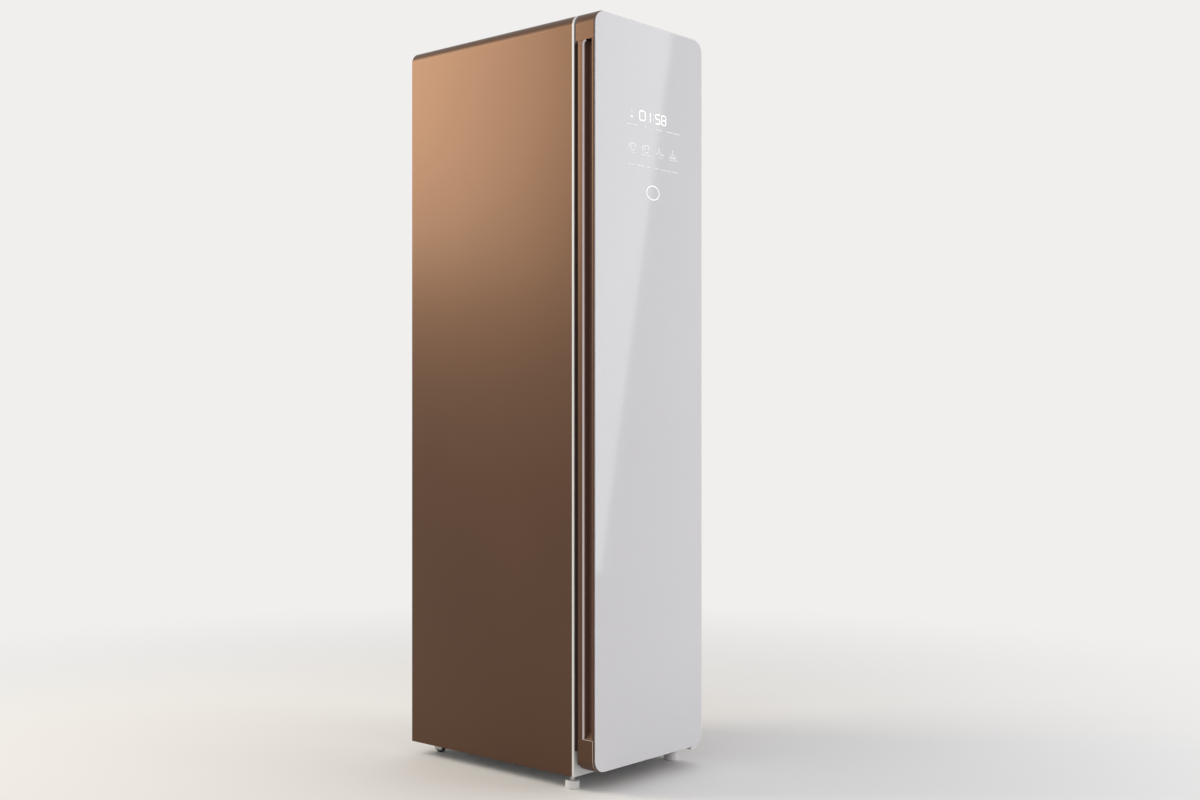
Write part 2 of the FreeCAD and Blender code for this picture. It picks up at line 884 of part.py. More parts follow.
def make_chamber_liner():
    """One-piece lining of the chamber, open to the front, with ledges for the rack."""
    liner = new_body("chamber_liner")
    outer = rounded(both("liner_out"), ("liner_under", "liner_over"), "liner_round + liner_wall")
    inner = rounded(both("chamber_half"), ("chamber_low", "chamber_high"), "liner_round")
    add(liner, "y", ("body_front", "liner_rear"), outer)
    take(liner, "y", ("body_front", "liner_back_in"), inner)
    heights = ("ledge_top - ledge_thick", "ledge_top")
    left = ("-chamber_half", "shelf_ledge - chamber_half")
    right = ("chamber_half - shelf_ledge", "chamber_half")
    ledges = [rectangle(side, heights) for side in (left, right)]
    add(liner, "y", ("body_front + ledge_setback", "liner_back_in"), *ledges)
    floor_holes = [
        rectangle(FILTER_HOLE_X, ("filter_front", "filter_rear")),
        rectangle(GRILLE_HOLE_X, GRILLE_HOLE_Y),
        circle("compressor_x", "boiler_y", "boiler_neck"),
    ]
    take(liner, "z", ("liner_under", "chamber_low"), *floor_holes)
    light = rectangle(both("light_half"), ("light_front", "light_front + light_deep"))
    take(liner, "z", ("chamber_high", "liner_over"), light, *post_slots())


def make_side_insulation():
    """Foam slabs between the liner and the sides of the wrap."""
    slabs = []
    for name, left in (("left", "-wrap_in"), ("right", "liner_out")):
        slab = doc.addObject("Part::Box", "insulation_" + name)
        bind(slab, "Length", "wrap_in - liner_out")
        bind(slab, "Width", "liner_rear - body_front")
        bind(slab, "Height", "chamber_high - chamber_low - 2 * liner_round")
        bind(slab, ".Placement.Base.x", left)
        bind(slab, ".Placement.Base.y", "body_front")
        bind(slab, ".Placement.Base.z", "chamber_low + liner_round")
        slabs.append(slab)
    group("side_insulation", slabs)


def make_chamber_light():
    """Lamp with its lens flush in the chamber's ceiling."""
    light = new_body("chamber_light")
    lens = rectangle(both("light_half"), ("light_front", "light_front + light_deep"))
    add(light, "z", ("chamber_high", "liner_over"), lens)
    deep = ("light_front - light_rim", "light_front + light_deep + light_rim")
    housing = rectangle(both("light_half + light_rim"), deep)
    add(light, "z", ("liner_over", "liner_over + light_box"), housing)


def make_shelf_rack():
    """Pull-out rack of bars and wires that rests on the liner's ledges."""
    heights = ("rack_low", "rack_low + rack_thick")
    edges = ("rack_front", "rack_rear")
    rack = block("shelf_rack", both("rack_half"), edges, heights)
    inside = ("rack_front + rack_bar", "rack_rear - rack_bar")
    take(rack, "z", heights, rectangle(both("rack_half - rack_bar"), inside))
    low, high = about("0", "rack_half - rack_bar")
    pitch = f"(({high}) - ({low})) / (wire_count + 1)"
    first = rectangle(about(f"{low} + {pitch}", "rack_wire / 2"), inside)
    middle = about("rack_low + rack_thick / 2", "rack_wire / 2")
    wire = add(rack, "z", middle, first)
    repeat(rack, wire, "H_Axis", f"{pitch} * (wire_count - 1)", "wire_count")


def make_lint_filter():
    """Lift-out lint filter in the front of the chamber floor."""
    wide = about("filter_x", "filter_wide / 2 - filter_fit")
    deep = ("filter_front + filter_fit", "filter_rear - filter_fit")
    low = "chamber_low - filter_reach"
    basket = block("lint_filter", wide, deep, (low, "filter_top"))
    flange_wide = about("filter_x", "filter_wide / 2 + filter_flange")
    flange_deep = ("filter_front - filter_flange", "filter_rear + filter_flange")
    add(basket, "z", ("filter_seat", "filter_top"), rectangle(flange_wide, flange_deep))
    inner_wide = about("filter_x", "filter_wide / 2 - filter_fit - filter_wall")
    inner_deep = ("filter_front + filter_fit + filter_wall", "filter_rear - filter_fit - filter_wall")
    take(basket, "z", (f"{low} + filter_wall", "filter_top"), rectangle(inner_wide, inner_deep))
    left = "filter_x - filter_wide / 2 + filter_fit + filter_wall + grille_slot"
    outline = rectangle((left, f"{left} + grille_slot"), inner_deep)
    slot = take(basket, "z", (low, f"{low} + filter_wall"), outline)
    repeat(basket, slot, "H_Axis", "grille_pitch * (filter_slots - 1)", "filter_slots")
    bar_wide = about("filter_x", "filter_bar / 2")
    middle = about("(filter_front + filter_rear) / 2", "filter_bar / 2")
    add(basket, "z", ("filter_top - filter_bar", "filter_top"), rectangle(bar_wide, inner_deep))
    knob_low = "filter_top + filter_grip"
    add(basket, "z", ("filter_top - filter_bar", knob_low), rectangle(bar_wide, middle))
    knob = rectangle(about("filter_x", "filter_grip"), middle)
    add(basket, "z", (knob_low, f"{knob_low} + filter_bar"), knob)


def make_rear_floor_grille():
    """Slotted warm-air outlet in the rear of the chamber floor."""
    wide = ("outlet_left_x - grille_flange", "outlet_right_x + grille_flange")
    deep = ("scroll_in_front - grille_flange", "scroll_in_rear + grille_flange")
    grille = block("rear_floor_grille", wide, deep, ("chamber_low", "chamber_low + grille_plate"))
    collar = rectangle(
        ("outlet_left_x + grille_fit", "outlet_right_x - grille_fit"),
        ("scroll_in_front + grille_fit", "scroll_in_rear - grille_fit"),
    )
    add(grille, "z", ("liner_under", "chamber_low"), collar)
    left = "outlet_left_x + grille_flange"
    inside = ("scroll_in_front + grille_flange", "scroll_in_rear - grille_flange")
    slot = rectangle((left, f"{left} + grille_slot"), inside)
    first = take(grille, "z", ("liner_under", "chamber_low + grille_plate"), slot)
    repeat(grille, first, "H_Axis", "grille_pitch * (grille_slots - 1)", "grille_slots")


def make_steam_nozzle():
    """Turned nozzle in the chamber floor, bored from below, with side slots under its cap."""
    nozzle = new_body("steam_nozzle", at=("compressor_x", "boiler_y", "chamber_low"))
    spin(
        nozzle,
        ("0", "-liner_wall - nozzle_spigot"),
        ("boiler_neck", "-liner_wall - nozzle_spigot"),
        ("boiler_neck", "0"),
        ("nozzle_flange", "0"),
        ("nozzle_flange", "nozzle_lip"),
        ("nozzle_flange / 2", "nozzle_rise"),
        ("0", "nozzle_rise"),
    )
    slot_heights = ("nozzle_lip + nozzle_slot", "nozzle_lip + 2 * nozzle_slot")
    slot = rectangle(both("nozzle_flange"), both("nozzle_slot / 2"))
    cross = rectangle(both("nozzle_slot / 2"), both("nozzle_flange"))
    take(nozzle, "z", slot_heights, slot)
    take(nozzle, "z", slot_heights, cross)
    bore = circle("0", "0", "boiler_neck - boiler_wall")
    take(nozzle, "z", ("-liner_wall - nozzle_spigot", "nozzle_lip + nozzle_slot"), bore)


# ---------------------------------------------------------- tanks and bay
def make_tank_bay():
    """Tub behind the lower opening, split for the two tanks, standing on two runners."""
    wide = both("chamber_half + bay_wall")
    bay = block("tank_bay", wide, ("body_front", "bay_rear"), ("bay_low", "bay_top"))
    heights = ("tank_low", "tank_high")
    openings = [
        rectangle(("-chamber_half", "-divider / 2"), heights),
        rectangle(("divider / 2", "chamber_half"), heights),
    ]
    take(bay, "y", ("body_front", "bay_rear - bay_wall"), *openings)
    runners = [
        rectangle(about(f"{sign}bay_runner_x", "bay_runner / 2"), ("body_front + pan_wall", "bay_rear"))
        for sign in ("", "-")
    ]
    add(bay, "z", ("pan_top", "bay_low"), *runners)


def make_tank(label, wide, centre):
    """Open-topped water tank with a finger recess in its front."""
    deep = ("tank_front", "tank_rear")
    tank = block(label, wide, deep, ("tank_floor", "tank_top"))
    left, right = wide
    inner_wide = (f"{left} + tank_wall", f"{right} - tank_wall")
    inner_deep = ("tank_front + tank_wall", "tank_rear - tank_wall")
    take(tank, "z", ("tank_floor + tank_wall", "tank_top"), rectangle(inner_wide, inner_deep))
    grip_high = "tank_top - tank_grip_drop"
    grip_low = f"{grip_high} - tank_grip_tall"
    pod_tall = (f"{grip_low} - tank_wall", f"{grip_high} + tank_wall")
    pod = rectangle(about(centre, "tank_grip_half + tank_wall"), pod_tall)
    add(tank, "y", ("tank_front", "tank_front + tank_grip_deep + tank_wall"), pod)
    recess = rounded(about(centre, "tank_grip_half"), (grip_low, grip_high), "tank_grip_round")
    take(tank, "y", ("tank_front", "tank_front + tank_grip_deep"), recess)


def make_tank_lid(label, wide, centre):
    """Lid with a lip inside the tank and a round filler cap."""
    deep = ("tank_front", "tank_rear")
    lid = block(label, wide, deep, ("tank_top", "tank_top + lid_thick"))
    left, right = wide
    inset = "(tank_wall + lid_fit)"
    lip_wide = (f"{left} + {inset}", f"{right} - {inset}")
    lip_deep = (f"tank_front + {inset}", f"tank_rear - {inset}")
    add(lid, "z", ("tank_top - lid_lip", "tank_top"), rectangle(lip_wide, lip_deep))
    cap = circle(centre, "(tank_front + tank_rear) / 2", "filler_round")
    add(lid, "z", ("tank_top + lid_thick", "tank_top + lid_thick + filler_rise"), cap)


def make_tanks():
    """The water supply tank on the left and the drain tank on the right."""
    centre = "(tank_outer_x + tank_inner_x) / 2"
    left = ("-tank_outer_x", "-tank_inner_x")
    right = ("tank_inner_x", "tank_outer_x")
    for name, wide, middle in (("water_tank", left, f"-{centre}"), ("drain_tank", right, centre)):
        make_tank(name, wide, middle)
        make_tank_lid(name + "_lid", wide, middle)


# ------------------------------------------------------- air path and fan
def make_duct_housing():
    """Moulded air duct: a shallow channel over the tanks and a deep coil well behind them."""
    wide = ("duct_left", "duct_right")
    duct = block("duct_housing", wide, ("duct_front", "duct_rear"), ("duct_low", "liner_under"))
    add(duct, "z", ("bay_top", "liner_under"), rectangle(wide, ("channel_front", "duct_front")))
    inner_wide = ("duct_left + duct_wall", "duct_right - duct_wall")
    well = rectangle(inner_wide, ("duct_front + duct_wall", "duct_rear - duct_wall"))
    take(duct, "z", ("coil_low", "liner_under"), well)
    channel = rectangle(inner_wide, ("channel_front + duct_wall", "duct_front + duct_wall"))
    take(duct, "z", ("bay_top + duct_wall", "liner_under"), channel)
    take(duct, "y", ("duct_rear - duct_wall", "duct_rear"), circle("fan_x", "fan_z", "inlet_round"))
    holes = [circle(y, z, "pipe_round") for y, z in PIPE_ENDS]
    take(duct, "x", ("duct_right - duct_wall", "duct_right"), *holes)


TUBE_ROWS = 5


def make_heat_exchangers():
    """The cold evaporator in front and the warm condenser behind it."""
    for label, front, rear in (
        ("evaporator", "evaporator_front", "evaporator_rear"),
        ("condenser", "condenser_front", "condenser_rear"),
    ):
        coil = new_body(label)
        face = rectangle((front, rear), ("coil_low", "coil_high"))
        add(coil, "x", ("coil_left", "coil_left + coil_end_plate"), face)
        tubes = []
        for row in range(TUBE_ROWS):
            height = f"coil_low + tube_edge + {row} * tube_pitch"
            tubes.append(circle(f"{front} + tube_edge", height, "tube_round"))
            tubes.append(circle(f"{rear} - tube_edge", height, "tube_round"))
        add(coil, "x", ("coil_left", "coil_right"), *tubes)
        add(coil, "x", ("coil_right - coil_end_plate", "coil_right"), face)
        pitch = "(coil_right - coil_left - 2 * coil_end_plate) / (fin_count + 1)"
        first = f"coil_left + coil_end_plate + {pitch}"
        fin = add(coil, "x", about(first, "fin_thick / 2"), face)
        repeat(coil, fin, "N_Axis", f"{pitch} * (fin_count - 1)", "fin_count")


def make_fan_housing():
    """Scroll housing with a front inlet and an outlet that rises to the floor grille."""
    wide = about("fan_x", "scroll_half")
    heights = ("fan_z - scroll_half", "liner_under")
    housing = block("fan_housing", wide, ("duct_rear", "scroll_rear"), heights)
    inside = ("scroll_in_front", "scroll_in_rear")
    take(housing, "y", inside, circle("fan_x", "fan_z", "scroll_round"))
    outlet = rectangle(("outlet_left_x", "outlet_right_x"), ("fan_z", "liner_under"))
    take(housing, "y", inside, outlet)
    take(housing, "y", ("duct_rear", "scroll_in_front"), circle("fan_x", "fan_z", "inlet_round"))
    take(housing, "y", ("scroll_in_rear", "scroll_rear"), circle("fan_x", "fan_z", "shaft_hole"))


def make_fan_wheel():
    """Drum fan wheel with its shaft, turning about the cabinet's Y axis."""
    backward = FreeCAD.Rotation(Vector(1, 0, 0), -90)
    wheel = new_body("fan_wheel", at=("fan_x", "wheel_front", "fan_z"), turned=backward)
    spin(
        wheel,
        ("0", "wheel_width - hub_long"),
        ("wheel_hub", "wheel_width - hub_long"),
        ("wheel_hub", "wheel_width - wheel_plate"),
        ("wheel_round", "wheel_width - wheel_plate"),
        ("wheel_round", "wheel_width"),
        ("shaft_round", "wheel_width"),
        ("shaft_round", "wheel_width + shaft_reach"),
        ("0", "wheel_width + shaft_reach"),
    )
    inner = "wheel_round - blade_deep"
    blade_deep = (f"{inner} + blade_thick", "wheel_round - blade_thick")
    section = rectangle(blade_deep, both("blade_thick / 2"))
    blade = add(wheel, "z", ("0", "wheel_width"), section)
    ring = wheel.newObject("PartDesign::PolarPattern", "fan_wheel_ring")
    ring.Originals = [blade]
    ring.Axis = (blade.Profile[0], ["N_Axis"])
    ring.Angle = 360
    bind(ring, "Occurrences", "blade_count")
    wheel.Tip = ring
    add(wheel, "z", ("0", "wheel_ring"), circle("0", "0", "wheel_round"), circle("0", "0", inner))


def make_fan_motor():
    """Fan motor on the back of the scroll housing, bored for the wheel's shaft."""
    backward = FreeCAD.Rotation(Vector(1, 0, 0), -90)
    motor = new_body("fan_motor", at=("fan_x", "scroll_rear", "fan_z"), turned=backward)
    bore = "shaft_round + pin_clear"
    bore_end = "wheel_front + wheel_width + shaft_reach + shaft_end - scroll_rear"
    spin(
        motor,
        (bore, "0"),
        ("motor_flange", "0"),
        ("motor_flange", "motor_plate"),
        ("motor_round", "motor_plate"),
        ("motor_round", "motor_long"),
        ("0", "motor_long"),
        ("0", bore_end),
        (bore, bore_end),
    )


# ------------------------------------------------- machines on the base pan
MOUNT_ANGLES = (90, 210, 330)


def make_compressor():
    """Sealed compressor can on a round foot plate, with its suction accumulator."""
    can = new_body("compressor", at=("compressor_x", "compressor_y", "compressor_low"))
    top = "compressor_plate + compressor_height"
    spin(
        can,
        ("0", "0"),
        ("compressor_foot", "0"),
        ("compressor_foot", "compressor_plate"),
        ("compressor_round", "compressor_plate"),
        ("compressor_round", f"{top} - compressor_dome"),
        ("compressor_round - compressor_dome / 2", f"{top} - compressor_dome / 4"),
        ("compressor_round - compressor_dome", top),
        ("0", top),
    )
    offset = "accumulator_y - compressor_y"
    bottle = circle("0", offset, "accumulator_round")
    add(can, "z", ("accumulator_rise", "accumulator_rise + accumulator_height"), bottle)
    strap = rectangle(both("accumulator_round / 2"), (offset, "-compressor_round / 2"))
    middle = "accumulator_rise + accumulator_height / 2"
    add(can, "z", about(middle, "accumulator_round / 2"), strap)
    room = ("compressor_plate + compressor_wall", f"{top} - compressor_dome - compressor_wall")
    take(can, "z", room, circle("0", "0", "compressor_round - compressor_wall"))


def make_compressor_mounts():
    """Three rubber mounts between the base pan and the compressor's foot plate."""
    mounts = []
    for angle in MOUNT_ANGLES:
        x = f"compressor_x + mount_reach * cos({angle}deg)"
        y = f"compressor_y + mount_reach * sin({angle}deg)"
        mounts.append(cylinder("mount", "z", (x, y), ("pan_top", "compressor_low"), "mount_round"))
    group("compressor_mounts", mounts)


def bent_tube(points, radius, bend):
    """A round bar along straight runs joined by arcs of one bend radius."""
    edges = []
    start = points[0]
    for before, corner, after in zip(points, points[1:], points[2:]):
        come = (corner - before).normalize()
        leave = (after - corner).normalize()
        trim = bend * math.tan(come.getAngle(leave) / 2)
        first = corner - come * trim
        last = corner + leave * trim
        bisector = (leave - come).normalize()
        centre = corner + bisector * (bend / math.cos(come.getAngle(leave) / 2))
        middle = centre - bisector * bend
        edges.append(Part.LineSegment(start, first).toShape())
        edges.append(Part.Arc(first, middle, last).toShape())
        start = last
    edges.append(Part.LineSegment(start, points[-1]).toShape())
    ring = Part.makeCircle(radius, points[0], points[1] - points[0])
    return Part.Wire(edges).makePipeShell([Part.Wire(ring)], True, False)


def spot(x, y, z):
    """A point given by three formulas."""
    return Vector(value(x), value(y), value(z))


PIPE_ENDS = (
    ("condenser_y", "coil_high - tube_edge"),
    ("evaporator_y", "coil_high - tube_edge"),
    ("condenser_y", "coil_low + tube_edge"),
    ("evaporator_y", "coil_low + tube_edge"),
)


def free_shape(label, shape):
    """A node whose shape is built from the sheets by code, because it bends in space."""
    item = doc.addObject("Part::Feature", label)
    item.Label = label
    item.Shape = shape
    nodes.append(item)


def make_refrigerant_pipes():
    """Copper pipes: compressor to condenser, condenser to evaporator, evaporator back."""
    hot_z = "coil_high - tube_edge"
    cold_z = "coil_low + tube_edge"
    discharge = [
        spot("compressor_x", "compressor_y", "compressor_top"),
        spot("compressor_x", "compressor_y", hot_z),
        spot("compressor_x", "condenser_y", hot_z),
        spot("coil_right", "condenser_y", hot_z),
    ]
    suction = [
        spot("coil_right", "evaporator_y", hot_z),
        spot("duct_right + pipe_loop", "evaporator_y", hot_z),
        spot("duct_right + pipe_loop", "accumulator_y", hot_z),
        spot("compressor_x", "accumulator_y", hot_z),
        spot("compressor_x", "accumulator_y", "accumulator_top"),
    ]
    liquid = [
        spot("coil_right", "condenser_y", cold_z),
        spot("duct_right + pipe_loop", "condenser_y", cold_z),
        spot("duct_right + pipe_loop", "evaporator_y", cold_z),
        spot("coil_right", "evaporator_y", cold_z),
    ]
    radius = value("pipe_round")
    bend = value("pipe_bend")
    tubes = [bent_tube(points, radius, bend) for points in (discharge, suction, liquid)]
    free_shape("refrigerant_pipes", Part.makeCompound(tubes))


def make_steam_generator():
    """Hollow boiler with a bored neck on top for the steam hose."""
    wide = about("compressor_x", "boiler_wide / 2")
    deep = about("boiler_y", "boiler_deep / 2")
    boiler = new_body("steam_generator")
    add(boiler, "z", ("pan_top", "boiler_top"), rounded(wide, deep, "boiler_round"))
    inner_wide = about("compressor_x", "boiler_wide / 2 - boiler_wall")
    inner_deep = about("boiler_y", "boiler_deep / 2 - boiler_wall")
    room = rounded(inner_wide, inner_deep, "boiler_round - boiler_wall")
    take(boiler, "z", ("pan_top + boiler_wall", "boiler_top - boiler_wall"), room)
    neck = circle("compressor_x", "boiler_y", "boiler_neck")
    add(boiler, "z", ("boiler_top", "boiler_top + boiler_neck_rise"), neck)
    bore = circle("compressor_x", "boiler_y", "boiler_neck - boiler_wall")
    take(boiler, "z", ("boiler_top - boiler_wall", "boiler_top + boiler_neck_rise"), bore)


def make_water_pump():
    """Pump body with a square head that the tank feeds."""
    wide = about("pump_x", "pump_wide / 2")
    deep = ("pump_front", "pump_front + pump_deep")
    pump = block("water_pump", wide, deep, ("pan_top", "pump_top"))
    head = rectangle(about("pump_x", "pump_head"), ("pump_front", "pump_front + 2 * pump_head"))
    add(pump, "z", ("pump_top", "pump_top + pump_head_rise"), head)


def make_hoses():
    """Steam hose to the nozzle, feed hose from the bay and feed hose to the boiler."""
    steam_centre = ("compressor_x", "boiler_y")
    steam_span = ("boiler_top", "liner_under")
    steam = doc.addObject("Part::Cut", "steam_hose")
    steam.Base = cylinder("steam_outside", "z", steam_centre, steam_span, "boiler_neck + hose_wall")
    steam.Tool = cylinder("steam_bore", "z", steam_centre, steam_span, "boiler_neck")
    inlet_centre = ("pump_x", "pump_top + pump_head_rise / 2")
    inlet = cylinder("inlet_hose", "y", inlet_centre, ("bay_rear", "pump_front"), "feed_round")
    outlet_span = ("pump_x + pump_wide / 2", "compressor_x - boiler_wide / 2")
    outlet = cylinder("outlet_hose", "x", ("boiler_y", "pan_top + feed_rise"), outlet_span, "feed_round")
    group("hoses", [steam, inlet, outlet])


def make_control_box():
    """Closed box around the power and control boards."""
    wide = ("control_left", "control_left + control_wide")
    deep = ("control_rear - control_deep", "control_rear")
    box = block("control_box", wide, deep, ("pan_top", "pan_top + control_height"))
    inner_wide = (f"{wide[0]} + control_wall", f"{wide[1]} - control_wall")
    inner_deep = (f"{deep[0]} + control_wall", f"{deep[1]} - control_wall")
    heights = ("pan_top + control_wall", "pan_top + control_height - control_wall")
    take(box, "z", heights, rectangle(inner_wide, inner_deep))


def make_power_inlet():
    """Three-blade power inlet in the back panel."""
    plate_rear = "plate_front + back_wall"
    flange = (plate_rear, f"{plate_rear} + inlet_flange")
    wide = about("inlet_x", "inlet_wide / 2")
    tall = about("inlet_z", "inlet_tall / 2")
    inlet = new_body("power_inlet")
    add(inlet, "y", flange, rectangle(wide, tall))
    body = rectangle(about("inlet_x", "inlet_body_wide / 2"), about("inlet_z", "inlet_body_tall / 2"))
    add(inlet, "y", (f"{plate_rear} - inlet_deep", plate_rear), body)
    half_wide = "inlet_body_wide / 2 - inlet_wall"
    half_tall = "inlet_body_tall / 2 - inlet_wall"
    socket = rounded(about("inlet_x", half_wide), about("inlet_z", half_tall), "inlet_corner")
    floor = f"{plate_rear} + inlet_flange - inlet_socket"
    take(inlet, "y", (floor, f"{plate_rear} + inlet_flange"), socket)
    spots = (
        ("inlet_x - blade_x", "inlet_z"),
        ("inlet_x + blade_x", "inlet_z"),
        ("inlet_x", "inlet_z + blade_z"),
    )
    blades = [rectangle(about(x, "blade_half"), about(z, "2 * blade_half")) for x, z in spots]
    add(inlet, "y", (floor, plate_rear), *blades)


# --------------------------------------------- hanger bar and its shaker
def make_hanger_bar():
    """Moving hanger bar with notches for hooks and two posts up to the carriage."""
    low = "bar_top - bar_tall"
    bar = new_body("hanger_bar")
    outline = rounded(both("bar_half"), about("hang_y", "bar_wide / 2"), "bar_wide / 2 - bar_edge")
    add(bar, "z", (low, "bar_top"), outline)
    first = about("-notch_pitch * (notch_count - 1) / 2", "notch_wide / 2")
    cut = rectangle(first, about("hang_y", "bar_wide / 2"))
    notch = take(bar, "z", ("bar_top - notch_deep", "bar_top"), cut)
    repeat(bar, notch, "H_Axis", "notch_pitch * (notch_count - 1)", "notch_count")
    add(bar, "z", ("bar_top", "carriage_low"), *[circle(x, "hang_y", "post_round") for x in POST_SPOTS])


def make_shaker_chassis():
    """Welded chassis on the chamber ceiling: plate, rail blocks and motor bridge."""
    wide = both("chassis_half")
    deep = about("hang_y", "chassis_wide")
    chassis = block("shaker_chassis", wide, deep, ("liner_over", "chassis_top"))
    take(chassis, "z", ("liner_over", "chassis_top"), *post_slots())
    ends = [
        rectangle(("-chassis_half", "rail_block - chassis_half"), deep),
        rectangle(("chassis_half - rail_block", "chassis_half"), deep),
    ]
    add(chassis, "z", ("chassis_top", "chassis_top + rail_block_tall"), *ends)
    rods = [circle(f"hang_y {sign} rail_space", "rail_z", "rail_round") for sign in "-+"]
    take(chassis, "x", wide, *rods)
    span = both("bridge_half")
    front = ("hang_y - chassis_wide", "hang_y - chassis_wide + upright")
    back = ("hang_y + chassis_wide - upright", "hang_y + chassis_wide")
    add(chassis, "z", ("chassis_top", "bridge_top"), rectangle(span, front), rectangle(span, back))
    add(chassis, "z", ("bridge_low", "bridge_top"), rectangle(span, deep))
    take(chassis, "z", ("bridge_low", "bridge_top"), circle("0", "hang_y", "bridge_hole"))


def make_shaker_rails():
    """Two ground rods that the carriage slides on."""
    rails = [
        cylinder("rail", "x", (f"hang_y {sign} rail_space", "rail_z"), both("chassis_half"), "rail_round")
        for sign in "-+"
    ]
    group("shaker_rails", rails)


def make_hanger_carriage():
    """Carriage with two rail bores and the cross slot that the crank pin drives."""
    deep = about("hang_y", "carriage_wide")
    carriage = block("hanger_carriage", both("carriage_half"), deep, ("carriage_low", "carriage_top"))
    bores = [circle(f"hang_y {sign} rail_space", "rail_z", "rail_round + rail_clear") for sign in "-+"]
    take(carriage, "x", both("carriage_half"), *bores)
    ends = about("hang_y", "crank_reach + crank_pin + slot_end")
    slot = rectangle(both("crank_pin + slot_clear"), ends)
    take(carriage, "z", ("carriage_top - crank_pin_deep - slot_end", "carriage_top"), slot)


def make_crank_disc():
    """Crank disc with its drive pin below and its shaft above."""
    disc = new_body("crank_disc")
    centre = circle("0", "hang_y", "crank_round")
    add(disc, "z", ("crank_low", "crank_top"), centre)
    pin = circle("0", "pin_y", "crank_pin")
    add(disc, "z", ("carriage_top - crank_pin_deep", "crank_low"), pin)
    add(disc, "z", ("crank_top", "crank_top + gear_shaft"), circle("0", "hang_y", "shaft_round"))


def make_shaker_motor():
    """Geared motor on the bridge, bored for the crank's shaft."""
    motor = new_body("shaker_motor", at=("0", "hang_y", "bridge_top"))
    bore = "shaft_round + pin_clear"
    bore_end = "crank_top + gear_shaft + shaft_end - bridge_top"
    spin(
        motor,
        (bore, "0"),
        ("gear_round", "0"),
        ("gear_round", "gear_height"),
        ("0", "gear_height"),
        ("0", bore_end),
        (bore, bore_end),
    )


# ------------------------------------------------------------------- door
CARRIER_HALF = "rebate_half - carrier_gap"
DISPLAY_X = about("display_x", "display_half")
BOARD_X = about("display_x", "display_half + board_margin")
BOARD_Z = ("display_low - board_margin", "display_high + board_margin")
HINGE_NOTCH_X = ("hinge_x - hinge_wide / 2 - notch_clear", "door_half")


def make_top_cap():
    """Top end of the door: round-cornered, hollow, stepped to the rear, slotted for the hinge."""
    cap = new_body("door_top_cap")
    heights = ("top_cap_low", "door_high")
    outer = rounded(both("door_half"), heights, "door_round", bottom=False)
    add(cap, "y", ("door_lip", "door_rear + top_cap_step"), outer)
    rebate_heights = ("top_cap_low", "door_high - rebate_end")
    rebate = rounded(both("rebate_half"), rebate_heights, "glass_round", bottom=False)
    take(cap, "y", ("door_lip", "carrier_rear"), rebate)
    hollow = rounded(
        ("cap_side - door_half", "door_half - hinge_block"),
        ("top_cap_low + cap_wall", "door_high - cap_side"),
        "door_round - cap_side",
        bottom=False,
    )
    take(cap, "y", ("carrier_rear", "door_rear - cap_wall"), hollow)
    notch = rectangle(HINGE_NOTCH_X, ("hinge_y - notch_front", "door_rear + top_cap_step"))
    take(cap, "z", ("top_notch_low", "top_arm_high + notch_clear"), notch)
    bore = circle("hinge_x", "hinge_y", "bush_round")
    take(cap, "z", ("top_notch_low - top_bush_length", "top_notch_low"), bore)


def make_bottom_cap():
    """Bottom end of the door: round-cornered and hollow, bored for the lower bush."""
    cap = new_body("door_bottom_cap")
    outer = rounded(both("door_half"), ("door_low", "bottom_cap_top"), "door_round", top=False)
    add(cap, "y", ("door_lip", "door_rear"), outer)
    rebate_heights = ("door_low + rebate_end", "bottom_cap_top")
    rebate = rounded(both("rebate_half"), rebate_heights, "glass_round", top=False)
    take(cap, "y", ("door_lip", "carrier_rear"), rebate)
    hollow = rounded(
        ("cap_side - door_half", "door_half - hinge_block"),
        ("door_low + cap_side", "bottom_cap_top - cap_wall"),
        "door_round - cap_side",
        top=False,
    )
    take(cap, "y", ("carrier_rear", "door_rear - cap_wall"), hollow)
    bore = circle("hinge_x", "hinge_y", "bush_round")
    take(cap, "z", ("door_low", "bottom_bush_low + bottom_bush_length"), bore)


def make_side_profiles():
    """Extruded door edges: a grip groove in the left one, a plain right one."""
    span = ("bottom_cap_top", "top_cap_low")
    left = new_body("door_left_profile")
    side = "-door_half"
    section = polygon(
        (side, "door_rear"),
        (side, "grip_back_y + grip_bevel"),
        (f"{side} + grip_bevel", "grip_back_y"),
        ("grip_in", "grip_back_y"),
        ("grip_in", "grip_front_y"),
        (side, "grip_front_y"),
        (side, "door_lip"),
        ("-rebate_half", "door_lip"),
        ("-rebate_half", "carrier_rear"),
        ("left_profile_in", "carrier_rear"),
        ("left_profile_in", "door_rear"),
    )
    add(left, "z", span, section)
    right = new_body("door_right_profile")
    section = polygon(
        ("door_half", "door_rear"),
        ("right_profile_in", "door_rear"),
        ("right_profile_in", "carrier_rear"),
        ("rebate_half", "carrier_rear"),
        ("rebate_half", "door_lip"),
        ("door_half", "door_lip"),
    )
    add(right, "z", span, section)


def make_handle_channel():
    """Dark lining of the grip groove. The end caps of the door close its ends."""
    channel = new_body("handle_channel")
    rear_edge = "grip_bevel + lining_setback - door_half"
    front_edge = "lining_setback - door_half"
    section = polygon(
        (rear_edge, "grip_back_y"),
        ("grip_in", "grip_back_y"),
        ("grip_in", "grip_front_y"),
        (front_edge, "grip_front_y"),
        (front_edge, "grip_front_y + grip_lining"),
        ("grip_in - grip_lining", "grip_front_y + grip_lining"),
        ("grip_in - grip_lining", "grip_back_y - grip_lining"),
        (rear_edge, "grip_back_y - grip_lining"),
    )
    add(channel, "z", ("bottom_cap_top", "top_cap_low"), section)


